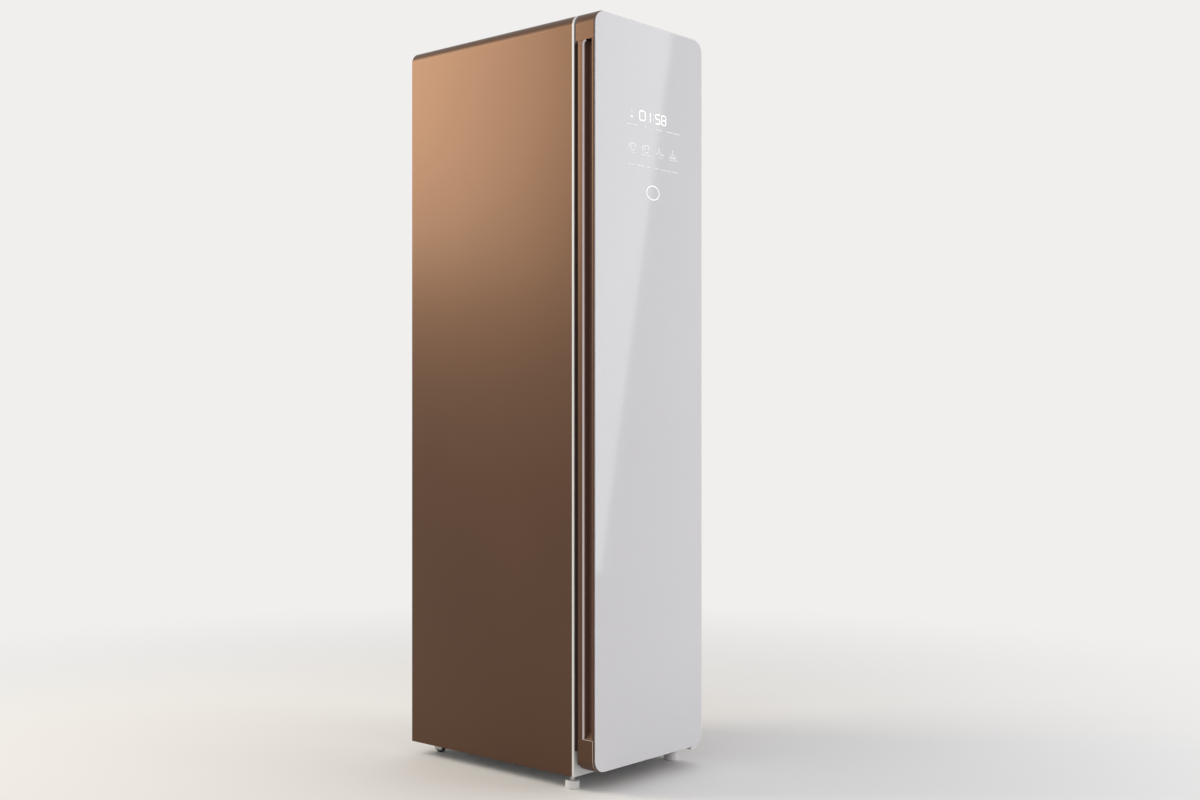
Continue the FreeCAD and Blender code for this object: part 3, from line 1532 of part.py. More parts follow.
def make_glass():
    """Glass front panel and the dark carrier sheet behind it."""
    carrier = new_body("glass_carrier")
    heights = ("door_low + rebate_end + carrier_gap", "door_high - rebate_end - carrier_gap")
    sheet = rounded(both(CARRIER_HALF), heights, "glass_round")
    window = rectangle(DISPLAY_X, ("display_low", "display_high"))
    add(carrier, "y", ("glass_rear", "carrier_rear"), sheet, window)
    glass = new_body("glass_panel")
    glass_heights = ("door_low + glass_end", "door_high - glass_end")
    outline = rounded(both("door_half - glass_inset"), glass_heights, "glass_round")
    add(glass, "y", ("front_y", "glass_rear"), outline)


def make_display_module():
    """Control board behind the glass, with a light guide that fills the carrier's window."""
    board = new_body("display_module")
    add(board, "y", ("carrier_rear", "carrier_rear + display_board"), rectangle(BOARD_X, BOARD_Z))
    add(board, "y", ("glass_rear", "carrier_rear"), rectangle(DISPLAY_X, ("display_low", "display_high")))


def make_door_core():
    """Foam slab and inner liner between the two edge profiles."""
    wide = ("left_profile_in", "right_profile_in")
    heights = ("bottom_cap_top", "top_cap_low")
    foam = block("door_foam", wide, ("carrier_rear", "liner_front"), heights)
    take(foam, "y", ("carrier_rear", "carrier_rear + display_board"), rectangle(BOARD_X, BOARD_Z))
    liner = block("door_liner", wide, ("liner_front", "door_rear"), heights)
    lug = rectangle(about("press_axis_x", "lug_half"), ("door_rear", "press_y + lug_half"))
    bore = circle("press_axis_x", "press_y", "press_pin_round + pin_clear")
    low_lug = ("press_low - press_gap - lug_tall", "press_low - press_gap")
    high_lug = ("press_high + press_gap", "press_high + press_gap + lug_tall")
    for lug_span in (low_lug, high_lug):
        add(liner, "z", lug_span, lug)
        take(liner, "z", lug_span, bore)


def make_door_gasket():
    """Soft magnetic seal around the back of the door."""
    gasket = new_body("door_gasket")
    outer = rounded(both("hinge_x"), ("gasket_low_z", "gasket_top_z"), "frame_round")
    inner = rounded(
        both("hinge_x - gasket_width"),
        ("gasket_low_z + gasket_width", "gasket_top_z - gasket_width"),
        "frame_round",
    )
    add(gasket, "y", ("door_rear", "frame_front - gasket_clear"), outer, inner)


def make_press():
    """Trouser press: a pad on the door liner and a hollow board that folds away from it."""
    pad_wide = ("press_left + pad_inset", "press_right - pad_inset")
    pad_tall = ("press_low + pad_inset", "press_high - pad_inset")
    block("press_pad", pad_wide, ("door_rear", "door_rear + pad_thick"), pad_tall)
    board = new_body("press_board")
    thick = about("press_y", "press_thick / 2")
    outline = rounded(("press_left", "press_right"), ("press_low", "press_high"), "press_corner")
    add(board, "y", thick, outline)
    inner = rounded(
        ("press_left + press_wall", "press_right - press_wall"),
        ("press_low + press_wall", "press_high - press_wall"),
        "press_corner - press_wall",
    )
    take(board, "y", about("press_y", "press_thick / 2 - press_wall"), inner)
    pin = circle("press_axis_x", "press_y", "press_pin_round")
    add(board, "z", ("press_low - press_pin_length", "press_low + press_corner"), pin)
    add(board, "z", ("press_high - press_corner", "press_high + press_pin_length"), pin)


# ------------------------------------------------------------ door hinges
def make_hinge(label, arm, leg, pin):
    """Steel hinge: a leg let into the front frame, an arm and an upright pin."""
    hinge = new_body(label)
    wide = about("hinge_x", "hinge_wide / 2")
    add(hinge, "z", arm, rectangle(wide, ("hinge_y", "leg_back")))
    add(hinge, "z", arm, circle("hinge_x", "hinge_y", "hinge_wide / 2"))
    add(hinge, "y", ("frame_front", "leg_back"), rectangle(wide, leg))
    add(hinge, "z", pin, circle("hinge_x", "hinge_y", "hinge_pin_round"))


def make_hinges():
    """Upper and lower hinge, with the bushes that turn on their pins."""
    top_leg = ("top_arm_high - hinge_leg", "top_arm_high")
    top_pin = ("top_arm_low - top_pin_length", "top_arm_low")
    make_hinge("top_hinge", ("top_arm_low", "top_arm_high"), top_leg, top_pin)
    bottom_leg = ("bottom_arm_low", "bottom_arm_low + hinge_leg")
    bottom_pin = ("bottom_arm_high", "bottom_arm_high + bottom_pin_length")
    make_hinge("bottom_hinge", ("bottom_arm_low", "bottom_arm_high"), bottom_leg, bottom_pin)
    bushes = []
    for span in (
        ("top_notch_low - top_bush_length", "top_notch_low"),
        ("bottom_bush_low", "bottom_bush_low + bottom_bush_length"),
    ):
        centre = ("hinge_x", "hinge_y")
        bush = doc.addObject("Part::Cut", "bush")
        bush.Base = cylinder("bush_outside", "z", centre, span, "bush_round")
        bush.Tool = cylinder("bush_bore", "z", centre, span, "hinge_pin_round + pin_clear")
        bushes.append(bush)
    group("hinge_bushes", bushes)


def make_hinge_cover():
    """White cover that hides the lower hinge arm."""
    reach = "hinge_wide / 2 + cover_clear"
    outer = f"{reach} + cover_wall"
    wide = about("hinge_x", outer)
    deep = (f"hinge_y - ({outer})", "frame_front")
    tall = ("bottom_arm_low - cover_floor", "door_low - cover_door_clear")
    cover = block("hinge_cover", wide, deep, tall)
    room = ("bottom_arm_low", "door_low - cover_door_clear")
    take(cover, "z", room, rectangle(about("hinge_x", reach), ("hinge_y", "frame_front")))
    take(cover, "z", room, circle("hinge_x", "hinge_y", reach))


# -------------------------------------------------------- feet and rollers
SIDES = (("left", "-"), ("right", ""))


def make_front_feet():
    """Levelling feet: a plastic disc on a stem that turns in the pan's boss."""
    for side, sign in SIDES:
        foot = new_body("front_foot_" + side, at=(f"{sign}foot_x", "foot_y", "0"))
        spin(
            foot,
            ("0", "0"),
            ("foot_round - foot_edge", "0"),
            ("foot_round", "foot_edge"),
            ("foot_round", "foot_tall - foot_edge"),
            ("foot_round - foot_edge", "foot_tall"),
            ("stem_round", "foot_tall"),
            ("stem_round", "floor_gap + stem_reach"),
            ("0", "floor_gap + stem_reach"),
        )


def make_rear_rollers():
    """Rear rollers on axles across steel forks."""
    sideways = FreeCAD.Rotation(Vector(0, 1, 0), 90)
    half = "roller_wide / 2"
    bore = "axle_round + pin_clear"
    for side, sign in SIDES:
        centre = (f"{sign}roller_x", "roller_y", "roller_round")
        roller = new_body("rear_roller_" + side, at=centre, turned=sideways)
        spin(
            roller,
            (bore, f"-{half}"),
            ("roller_round - roller_edge", f"-{half}"),
            ("roller_round", f"roller_edge - {half}"),
            ("roller_round", f"{half} - roller_edge"),
            ("roller_round - roller_edge", half),
            (bore, half),
        )


def make_roller_forks():
    """A fork under each rear corner of the pan, with the axle riveted across it."""
    cheek = "roller_wide / 2 + fork_gap"
    outer = f"{cheek} + fork_wall"
    for side, sign in SIDES:
        middle = f"{sign}roller_x"
        deep = about("roller_y", "fork_deep / 2")
        low = "shell_low - fork_drop"
        fork = block("roller_fork_" + side, about(middle, outer), deep, (low, "shell_low"))
        take(fork, "z", (low, "shell_low - fork_wall"), rectangle(about(middle, cheek), deep))
        add(fork, "x", about(middle, outer), circle("roller_y", "roller_round", "axle_round"))


# ------------------------------------------------------------ build, check
def build():
    """Make every sub-part."""
    for make in (
        make_outer_wrap,
        make_back_panel,
        make_panel_screws,
        make_base_pan,
        make_front_frame,
        make_chamber_liner,
        make_side_insulation,
        make_chamber_light,
        make_shelf_rack,
        make_lint_filter,
        make_rear_floor_grille,
        make_steam_nozzle,
        make_tank_bay,
        make_tanks,
        make_duct_housing,
        make_heat_exchangers,
        make_fan_housing,
        make_fan_wheel,
        make_fan_motor,
        make_compressor,
        make_compressor_mounts,
        make_refrigerant_pipes,
        make_steam_generator,
        make_water_pump,
        make_hoses,
        make_control_box,
        make_power_inlet,
        make_hanger_bar,
        make_shaker_chassis,
        make_shaker_rails,
        make_hanger_carriage,
        make_crank_disc,
        make_shaker_motor,
        make_top_cap,
        make_bottom_cap,
        make_side_profiles,
        make_handle_channel,
        make_glass,
        make_display_module,
        make_door_core,
        make_door_gasket,
        make_press,
        make_hinges,
        make_hinge_cover,
        make_front_feet,
        make_rear_rollers,
        make_roller_forks,
    ):
        make()
    doc.recompute()


def check():
    """Stop before anything is written if the document or a sub-part is not sound."""
    for item in doc.Objects:
        if "Invalid" in item.State or "Error" in item.State:
            raise RuntimeError(f"{item.Label} failed: {item.State}")
    for item in doc.Objects:
        if item.isDerivedFrom("PartDesign::Pocket"):
            if item.Shape.Volume >= item.BaseFeature.Shape.Volume:
                raise RuntimeError(f"{item.Label} cuts nothing")
    for node in nodes:
        if node.Shape.isNull() or not node.Shape.isValid():
            raise RuntimeError(f"{node.Label} has no sound shape")


def export():
    """Write one STEP file per sub-part."""
    os.makedirs("parts", exist_ok=True)
    for node in nodes:
        node.Shape.exportStep(f"parts/{node.Label}.step")


build()
check()
export()
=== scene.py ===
"""Looks of the clothes care steam cabinet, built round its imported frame.

Lengths are in metres. The display, the door's edge strips and the gasket's lip are written in
millimetres and turned into metres where their points are made.
"""

import json
import math

import bmesh
import bpy
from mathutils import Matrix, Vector


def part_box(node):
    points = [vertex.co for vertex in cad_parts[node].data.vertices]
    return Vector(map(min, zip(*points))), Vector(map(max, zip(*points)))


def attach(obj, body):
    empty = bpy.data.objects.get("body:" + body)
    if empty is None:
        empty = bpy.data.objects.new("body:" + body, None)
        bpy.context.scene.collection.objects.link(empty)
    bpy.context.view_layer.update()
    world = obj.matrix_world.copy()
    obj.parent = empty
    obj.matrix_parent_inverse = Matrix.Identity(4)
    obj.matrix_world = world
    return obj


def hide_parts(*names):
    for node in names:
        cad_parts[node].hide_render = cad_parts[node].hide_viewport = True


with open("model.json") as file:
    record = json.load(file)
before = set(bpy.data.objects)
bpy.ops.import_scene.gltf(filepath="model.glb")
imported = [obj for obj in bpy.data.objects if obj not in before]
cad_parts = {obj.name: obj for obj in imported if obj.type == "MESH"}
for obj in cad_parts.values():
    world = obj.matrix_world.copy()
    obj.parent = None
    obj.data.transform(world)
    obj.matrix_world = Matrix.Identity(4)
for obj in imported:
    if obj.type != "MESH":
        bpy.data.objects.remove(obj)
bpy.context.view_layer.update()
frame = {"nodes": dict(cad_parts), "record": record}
MM = 0.001

# ------------------------------------------------------------------ the view
PHOTO_WIDTH, PHOTO_HEIGHT = 1200, 800
PRINCIPAL_X, PRINCIPAL_Y = 540.0, 410.55    # where the eye's level line meets the photo, in pixels
FOCAL_PIXELS = 1448.9
EYE = Vector((-2.8108, -2.5130, 0.9047))
YAW = math.radians(47.595)                  # from +Y towards +X
SENSOR = 36.0                               # width of the camera's sensor, in millimetres

# ------------------------------------------------------------------- sizes
FACE_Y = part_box("glass_panel")[0].y         # front of the glass
SMALL_BEVEL = 0.4 * MM
EDGE_BEVEL = 0.8 * MM
BOARD_BEVEL = 3 * MM


def linear(red, green, blue):
    """A colour written as 0 to 255 steps, as the shader takes it."""
    def lift(step):
        share = step / 255
        return share / 12.92 if share <= 0.04045 else ((share + 0.055) / 1.055) ** 2.4

    return (lift(red), lift(green), lift(blue), 1.0)


def shade(colour, share):
    """The colour made darker or lighter by a share."""
    return tuple(min(1.0, part * share) for part in colour[:3]) + (1.0,)


# ---------------------------------------------------------------- materials
def combined(tree, operation, first, second):
    """Two sockets taken together by a math node."""
    made = tree.nodes.new("ShaderNodeMath")
    made.operation = operation
    tree.links.new(first, made.inputs[0])
    tree.links.new(second, made.inputs[1])
    return made.outputs["Value"]


class Finish:
    """A procedural material: a Principled shader and the nodes that feed it."""

    def __init__(self, name, **sockets):
        self.material = bpy.data.materials.new(name)
        self.material.use_nodes = True
        self.tree = self.material.node_tree
        self.shader = self.tree.nodes["Principled BSDF"]
        self.place = self.tree.nodes.new("ShaderNodeTexCoord").outputs["Object"]
        for socket, setting in sockets.items():
            self.shader.inputs[socket.replace("_", " ")].default_value = setting

    def node(self, kind, **inputs):
        made = self.tree.nodes.new("ShaderNode" + kind)
        for socket, setting in inputs.items():
            made.inputs[socket.replace("_", " ")].default_value = setting
        return made

    def link(self, start, end):
        self.tree.links.new(start, end)

    def stretched(self, along):
        """The object's coordinates, scaled on each axis."""
        mapping = self.node("Mapping", Scale=along)
        self.link(self.place, mapping.inputs["Vector"])
        return mapping.outputs["Vector"]

    def noise(self, scale, detail=3.0, along=(1, 1, 1)):
        made = self.node("TexNoise", Scale=scale, Detail=detail)
        self.link(self.stretched(along), made.inputs["Vector"])
        return made.outputs["Fac"]

    def cells(self, scale, along=(1, 1, 1)):
        made = self.node("TexVoronoi", Scale=scale)
        self.link(self.stretched(along), made.inputs["Vector"])
        return made.outputs

    def waves(self, scale, direction, distortion=0.0):
        made = self.node("TexWave", Scale=scale, Distortion=distortion)
        made.bands_direction = direction
        self.link(self.place, made.inputs["Vector"])
        return made.outputs["Fac"]

    def between(self, factor, low, high):
        """The factor's 0 to 1 moved to low to high."""
        span = self.node("MapRange", To_Min=low, To_Max=high)
        self.link(factor, span.inputs["Value"])
        return span.outputs["Result"]

    def colour(self, factor, first, second, start=0.3, end=0.7):
        """The base colour: the first up to the factor's start, blending into the second at its end."""
        ramp = self.node("ValToRGB")
        stops = ramp.color_ramp.elements
        stops[0].color, stops[0].position = first, start
        stops[1].color, stops[1].position = second, end
        self.link(factor, ramp.inputs["Fac"])
        self.link(ramp.outputs["Color"], self.shader.inputs["Base Color"])

    def roughness(self, factor, low, high):
        self.link(self.between(factor, low, high), self.shader.inputs["Roughness"])

    def bump(self, factor, depth, strength=1.0):
        """Relief of a depth in metres, on top of any that the material has."""
        made = self.node("Bump", Strength=strength, Distance=depth)
        self.link(factor, made.inputs["Height"])
        before = self.shader.inputs["Normal"]
        if before.is_linked:
            self.link(before.links[0].from_socket, made.inputs["Normal"])
        self.link(made.outputs["Normal"], before)


def lacquered_metal():
    """Bronze metallic lacquer: fine flakes, a faint drift of tone and a slight orange peel."""
    bronze = linear(94, 69, 53)
    paint = Finish("bronze_lacquer", Metallic=0.85, Coat_Weight=0.08, Coat_Roughness=0.2)
    flakes = paint.noise(2600, detail=1)
    drift = paint.noise(2.2, detail=2, along=(1, 1, 0.5))
    paint.colour(drift, shade(bronze, 0.95), shade(bronze, 1.04))
    paint.roughness(flakes, 0.36, 0.46)
    paint.bump(flakes, 0.00002, 0.35)
    paint.bump(paint.noise(260, detail=2), 0.00004, 0.25)
    return paint.material


def painted_glass():
    """White glass, painted on its back: deep gloss, a nearly even tone and a barely wavy face."""
    white = linear(214, 213, 216)
    glass = Finish("white_glass", Specular_IOR_Level=0.5, IOR=1.52)
    drift = glass.noise(1.6, detail=2)
    glass.colour(drift, shade(white, 0.985), shade(white, 1.01))
    glass.roughness(glass.noise(40), 0.03, 0.06)
    glass.bump(drift, 0.0004, 0.1)
    return glass.material


def moulded(name, colour, low=0.35, high=0.5, grain=900, depth=0.00006, **sockets):
    """Moulded plastic: an eroded grain, with a little unevenness in gloss and tone."""
    plastic = Finish(name, **sockets)
    tone = plastic.noise(5, detail=2)
    plastic.colour(tone, shade(colour, 0.985), shade(colour, 1.01))
    plastic.roughness(plastic.noise(60), low, high)
    plastic.bump(plastic.cells(grain)["Distance"], depth, 0.3)
    return plastic.material


def brushed(name, colour, along=(40, 40, 1), low=0.22, high=0.4):
    """Bare metal with fine scratches along one axis."""
    metal = Finish(name, Metallic=1.0)
    lines = metal.noise(60, detail=6, along=along)
    metal.colour(lines, shade(colour, 0.88), shade(colour, 1.06))
    metal.roughness(lines, low, high)
    metal.bump(lines, 0.00005, 0.25)
    return metal.material


def galvanised():
    """Zinc-coated sheet with its spangle."""
    grey = linear(168, 170, 172)
    zinc = Finish("zinc_spangle", Metallic=0.85)
    spangle = zinc.cells(130, along=(1, 1, 0.8))
    split = zinc.node("SeparateColor")
    zinc.link(spangle["Color"], split.inputs["Color"])
    zinc.colour(split.outputs["Red"], shade(grey, 0.93), shade(grey, 1.02), 0.0, 1.0)
    zinc.roughness(split.outputs["Green"], 0.34, 0.5)
    zinc.bump(zinc.noise(240), 0.00004, 0.3)
    return zinc.material


def black_enamel():
    """Satin black stoving enamel."""
    enamel = Finish("black_enamel", Coat_Weight=0.5, Coat_Roughness=0.2)
    tone = enamel.noise(20, detail=4)
    enamel.colour(tone, linear(24, 24, 25), linear(38, 38, 40))
    enamel.roughness(tone, 0.35, 0.5)
    enamel.bump(enamel.noise(420), 0.00008, 0.3)
    return enamel.material


def cast_metal():
    """Die-cast aluminium with its slightly uneven skin."""
    alloy = Finish("cast_alloy", Metallic=0.9)
    tone = alloy.noise(30, detail=5)
    alloy.colour(tone, linear(176, 177, 179), linear(208, 208, 210))
    alloy.roughness(tone, 0.3, 0.46)
    alloy.bump(alloy.noise(700, detail=2), 0.00008, 0.3)
    return alloy.material


def copper_tube():
    """Drawn copper, darker where it was handled or heated."""
    copper = Finish("drawn_copper", Metallic=1.0)
    tone = copper.noise(25, detail=5)
    copper.colour(tone, linear(150, 88, 62), linear(206, 132, 98))
    copper.roughness(tone, 0.24, 0.42)
    copper.bump(copper.noise(300), 0.00003, 0.3)
    return copper.material


def soft_rubber(name, dark, light):
    """Dull rubber between two tones."""
    rubber = Finish(name, Sheen_Weight=0.15)
    tone = rubber.noise(30, detail=4)
    rubber.colour(tone, dark, light)
    rubber.roughness(tone, 0.62, 0.78)
    rubber.bump(rubber.noise(1500), 0.00004, 0.3)
    return rubber.material


def expanded_foam():
    """Pale insulating foam, made of beads."""
    foam = Finish("insulation_foam", Roughness=0.9)
    beads = foam.cells(260)
    foam.colour(beads["Distance"], linear(196, 184, 150), linear(236, 228, 200), 0.0, 0.8)
    foam.bump(beads["Distance"], 0.0006, 0.6)
    foam.bump(foam.noise(60, detail=5), 0.0008, 0.3)
    return foam.material


def tank_plastic():
    """Smoky see-through plastic of the water tanks."""
    smoke = Finish("smoky_tank", Transmission_Weight=0.55, IOR=1.49)
    tone = smoke.noise(8, detail=3)
    smoke.colour(tone, linear(150, 160, 170), linear(176, 186, 195))
    smoke.roughness(smoke.noise(40), 0.14, 0.24)
    smoke.bump(smoke.noise(500), 0.00003, 0.3)
    return smoke.material


def glow(name, colour, strength):
    """Lit plastic, a little uneven in tone and brightness."""
    lamp = Finish(name, Roughness=0.5, Emission_Color=colour)
    lamp.colour(lamp.noise(400), shade(colour, 0.97), colour)
    brightness = lamp.between(lamp.noise(90), strength * 0.97, strength * 1.03)
    lamp.link(brightness, lamp.shader.inputs["Emission Strength"])
    return lamp.material


def press_cloth():
    """Heat-proof felt cloth of the press pad, in a plain weave."""
    cloth = Finish("press_cloth", Sheen_Weight=0.35, Sheen_Roughness=0.5)
    warp = cloth.waves(620, "X", 0.6)
    weft = cloth.waves(620, "Z", 0.6)
    weave = combined(cloth.tree, "MULTIPLY", warp, weft)
    cloth.colour(cloth.noise(9, detail=2), linear(178, 175, 170), linear(184, 181, 176))
    cloth.roughness(weave, 0.82, 0.95)
    cloth.bump(weave, 0.0003, 0.7)
    return cloth.material


WARM_WHITE = linear(226, 225, 225)
MATERIALS = {
    "body_paint": lacquered_metal(),
    "front_glass": painted_glass(),
    "white_plastic": moulded("white_plastic_satin", WARM_WHITE, 0.3, 0.42, Coat_Weight=0.1),
    "inner_plastic": moulded("liner_plastic", linear(214, 214, 212), 0.34, 0.48),
    "dark_plastic": moulded("dark_plastic_matt", linear(40, 39, 40), 0.42, 0.58, depth=0.0001),
    "display_plastic": moulded("diffuser_plastic", linear(224, 226, 228), 0.25, 0.4, Coat_Weight=0.2),
    "bare_steel": brushed("bare_steel_brushed", linear(176, 176, 175)),
    "zinc_sheet": galvanised(),
    "black_metal": black_enamel(),
    "cast_aluminium": cast_metal(),
    "copper": copper_tube(),
    "soft_rubber": soft_rubber("soft_rubber_grey", linear(46, 45, 46), linear(62, 61, 62)),
    "foam": expanded_foam(),
    "tank_plastic": tank_plastic(),
}
MATERIALS["door_edge"] = MATERIALS["body_paint"]
MATERIALS["door_cap"] = MATERIALS["body_paint"]
LIT_WHITE = glow("display_glow", linear(252, 250, 248), 0.55)
DIM_WHITE = glow("display_dim_glow", linear(238, 237, 238), 0.34)
LAMP_WHITE = glow("chamber_lamp_glow", linear(255, 244, 226), 1.6)
CLOTH = press_cloth()
GROOVE_LINING = moulded("groove_lining", linear(112, 82, 68), 0.4, 0.55)
GROOVE_END = moulded("groove_end", linear(140, 106, 84), 0.35, 0.5)
# Pale metal for the thin strips along the door's edges, which are painted highlights
PAINTED_HIGHLIGHT_METAL = brushed("painted_highlight_metal", linear(205, 195, 194), (60, 60, 1), 0.3, 0.4)
# Pale strip round the glass: a painted highlight on the glass's edge
GLASS_EDGE_PAINTED_HIGHLIGHT = moulded("glass_edge_painted_highlight", linear(236, 234, 238), 0.25, 0.35, Coat_Weight=0.3)
# Dark brown: painted shade for the gap beside the cabinet's frame
PAINTED_SHADE_RUBBER = soft_rubber("gasket_lip_painted_shade", linear(58, 42, 35), linear(68, 51, 43))

FINISH_OF_NODE = {"handle_channel": GROOVE_LINING}


def dress_frame():
    """Every carried-over node takes its slot's material, or its own one."""
    for subpart in frame["record"]["subparts"]:
        name = subpart["node"]
        material = FINISH_OF_NODE.get(name, MATERIALS[subpart["material_slot"]])
        mesh = frame["nodes"][name].data
        mesh.materials.clear()
        mesh.materials.append(material)


# ------------------------------------------------------------ softened edges
SOFTENED = {
    "outer_wrap": SMALL_BEVEL, "front_frame": EDGE_BEVEL, "back_panel": SMALL_BEVEL,
    "door_top_cap": SMALL_BEVEL, "door_bottom_cap": SMALL_BEVEL, "door_left_profile": EDGE_BEVEL,
    "door_right_profile": SMALL_BEVEL, "glass_panel": SMALL_BEVEL, "hinge_cover": SMALL_BEVEL,
    "handle_channel": SMALL_BEVEL, "chamber_liner": EDGE_BEVEL, "press_board": BOARD_BEVEL,
    "door_liner": EDGE_BEVEL, "tank_bay": SMALL_BEVEL, "water_tank_lid": EDGE_BEVEL,
    "drain_tank_lid": EDGE_BEVEL, "lint_filter": SMALL_BEVEL, "hanger_bar": EDGE_BEVEL,
    "power_inlet": SMALL_BEVEL, "control_box": EDGE_BEVEL, "base_pan": SMALL_BEVEL,
}
WELD_REACH = 0.01 * MM
SHARP_ANGLE = math.radians(40)              # edges sharper than this are rounded


def soften_edges():
    """A small round on the edges of the nodes that show."""
    for name, width in SOFTENED.items():
        node = frame["nodes"][name]
        node.data.shade_smooth()
        weld = node.modifiers.new("weld", "WELD")
        weld.merge_threshold = WELD_REACH
        bevel = node.modifiers.new("round", "BEVEL")
        bevel.width = width
        bevel.segments = 2
        bevel.limit_method = "ANGLE"
        bevel.angle_limit = SHARP_ANGLE
        bevel.use_clamp_overlap = True
        bevel.harden_normals = False
        normals = node.modifiers.new("normals", "WEIGHTED_NORMAL")
        normals.keep_sharp = False


# ------------------------------------------------------------- new pieces
def add_piece(name, mesh, material, body):
    """A piece made from a mesh or a bmesh, riding on a body."""
    if isinstance(mesh, bmesh.types.BMesh):
        bmesh.ops.recalc_face_normals(mesh, faces=mesh.faces)
        data = bpy.data.meshes.new(name)
        mesh.to_mesh(data)
        mesh.free()
        mesh = data
    piece = bpy.data.objects.new(name, mesh)
    bpy.context.scene.collection.objects.link(piece)
    mesh.materials.clear()
    mesh.materials.append(material)
    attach(piece, body)
    return piece


def join_rings(mesh, rings, closed=False):
    """Walls from each ring of corners to the next, and from the last to the first where closed."""
    followers = rings[1:] + rings[:1] if closed else rings[1:]
    for ring, after in zip(rings, followers):
        for corner in range(len(ring)):
            beside = (corner + 1) % len(ring)
            mesh.faces.new((ring[corner], ring[beside], after[beside], after[corner]))


def swept(name, stations, material, closed=False):
    """A strip on the door: each station is one ring of points in millimetres, joined to the next."""
    mesh = bmesh.new()
    rings = [[mesh.verts.new([part * MM for part in point]) for point in ring] for ring in stations]
    join_rings(mesh, rings, closed)
    if not closed:
        mesh.faces.new(rings[0])
        mesh.faces.new(rings[-1])
    add_piece(name, mesh, material, "door")


def arc(across, up, radius, start, turn, steps):
    """Points round a centre, from a start angle and through a turn, both in degrees."""
    angles = [math.radians(start + turn * step / steps) for step in range(steps + 1)]
    return [(across + radius * math.cos(angle), up + radius * math.sin(angle)) for angle in angles]


def rounded_loop(left, right, low, high, radius, steps=4):
    """Points of a rounded rectangle, going round once from its right side."""
    centres = ((right - radius, high - radius), (left + radius, high - radius),
               (left + radius, low + radius), (right - radius, low + radius))
    points = []
    for quarter, (across, up) in enumerate(centres):
        points += arc(across, up, radius, 90 * quarter, 90, steps)
    return points


# ------------------------------------- the display: millimetres across and up
STROKE_DEPTH = 0.3 * MM                     # half of it stands proud of the glass


def strokes(name, lines, width, material):
    """Lit lines on the glass. Each is (points, closed), with points across and up in millimetres."""
    curve = bpy.data.curves.new(name, "CURVE")
    curve.dimensions = "3D"
    curve.bevel_depth = width * MM / 2
    curve.bevel_resolution = 2
    curve.use_fill_caps = True
    for points, closed in lines:
        spline = curve.splines.new("POLY")
        spline.points.add(len(points) - 1)
        for point, (across, up) in zip(spline.points, points):
            point.co = (across * MM, 0, up * MM, 1)
        spline.use_cyclic_u = closed
    holder = bpy.data.objects.new(name, curve)
    bpy.context.scene.collection.objects.link(holder)
    graph = bpy.context.evaluated_depsgraph_get()
    mesh = bpy.data.meshes.new_from_object(holder.evaluated_get(graph))
    bpy.data.objects.remove(holder)
    for vertex in mesh.vertices:
        vertex.co.y = FACE_Y + vertex.co.y * STROKE_DEPTH / (width * MM)
    mesh.shade_smooth()
    add_piece(name, mesh, material, "door")


DIGIT_LOW, DIGIT_HIGH = 1611.0, 1636.5
DIGIT_STROKE = 2.7
DIGIT_ROUND = 5.0
DIGIT_STEPS = 5
ZERO_LEFT, ZERO_RIGHT = -44.5, -22.8
ONE_X, ONE_STROKE = -2.6, 4.0
ONE_BREAK = 1.4                             # half the break between its two bars
COLON_X, COLON_STROKE = 9.8, 4.2
COLON_HEIGHTS = (1629.5, 1618.5)
COLON_HALF = 0.3                            # half the length of the short line that makes a dot
FIVE_LEFT, FIVE_RIGHT = 18.2, 36.0
EIGHT_LEFT, EIGHT_RIGHT = 42.4, 60.0


def clock_digits():
    """The clock reads 01:58."""
    inset = DIGIT_STROKE / 2
    low, high, middle = DIGIT_LOW + inset, DIGIT_HIGH - inset, (DIGIT_LOW + DIGIT_HIGH) / 2

    def bend(across, up, start, turn):
        return arc(across, up, DIGIT_ROUND, start, turn, DIGIT_STEPS)

    zero = (rounded_loop(ZERO_LEFT, ZERO_RIGHT, low, high, DIGIT_ROUND), True)
    five = (
        [(FIVE_RIGHT, high)] + bend(FIVE_LEFT + DIGIT_ROUND, high - DIGIT_ROUND, 90, 90)
        + bend(FIVE_LEFT + DIGIT_ROUND, middle + DIGIT_ROUND, 180, 90)
        + bend(FIVE_RIGHT - DIGIT_ROUND, middle - DIGIT_ROUND, 90, -90)
        + bend(FIVE_RIGHT - DIGIT_ROUND, low + DIGIT_ROUND, 0, -90) + [(FIVE_LEFT, low)],
        False,
    )
    eight_high = (rounded_loop(EIGHT_LEFT, EIGHT_RIGHT, middle, high, DIGIT_ROUND), True)
    eight_low = (rounded_loop(EIGHT_LEFT, EIGHT_RIGHT, low, middle, DIGIT_ROUND), True)
    strokes("clock_digits", [zero, five, eight_high, eight_low], DIGIT_STROKE, LIT_WHITE)
    bars = ((low, middle - ONE_BREAK), (middle + ONE_BREAK, high))
    one = [([(ONE_X, start), (ONE_X, end)], False) for start, end in bars]
    strokes("clock_one", one, ONE_STROKE, LIT_WHITE)
    colon = [([(COLON_X - COLON_HALF, up), (COLON_X + COLON_HALF, up)], False) for up in COLON_HEIGHTS]
    strokes("clock_colon", colon, COLON_STROKE, LIT_WHITE)


DASH_ROWS = (
    # height, stroke, and where each bar starts and ends
    (1597.6, 1.5, ((-92, -76), (-72, -53), (-28, -17), (5, 8), (22, 30), (34, 46), (60, 88), (92, 116))),
    (1529.4, 1.0, ((-79, -62), (-39, -22), (-18, -2), (27, 47), (73, 84), (88, 106))),
    (1500.8, 1.3, ((-89, -78), (-74, -66), (-55, -42), (-38, -29), (-16, -4), (15, 29), (40, 60),
                   (64, 78), (83, 109))),
)


def dash_rows():
    """Generic bars where small print would stand."""
    for count, (up, stroke, bars) in enumerate(DASH_ROWS):
        lines = [([(left, up), (right, up)], False) for left, right in bars]
        strokes(f"display_bars_{count}", lines, stroke, DIM_WHITE)


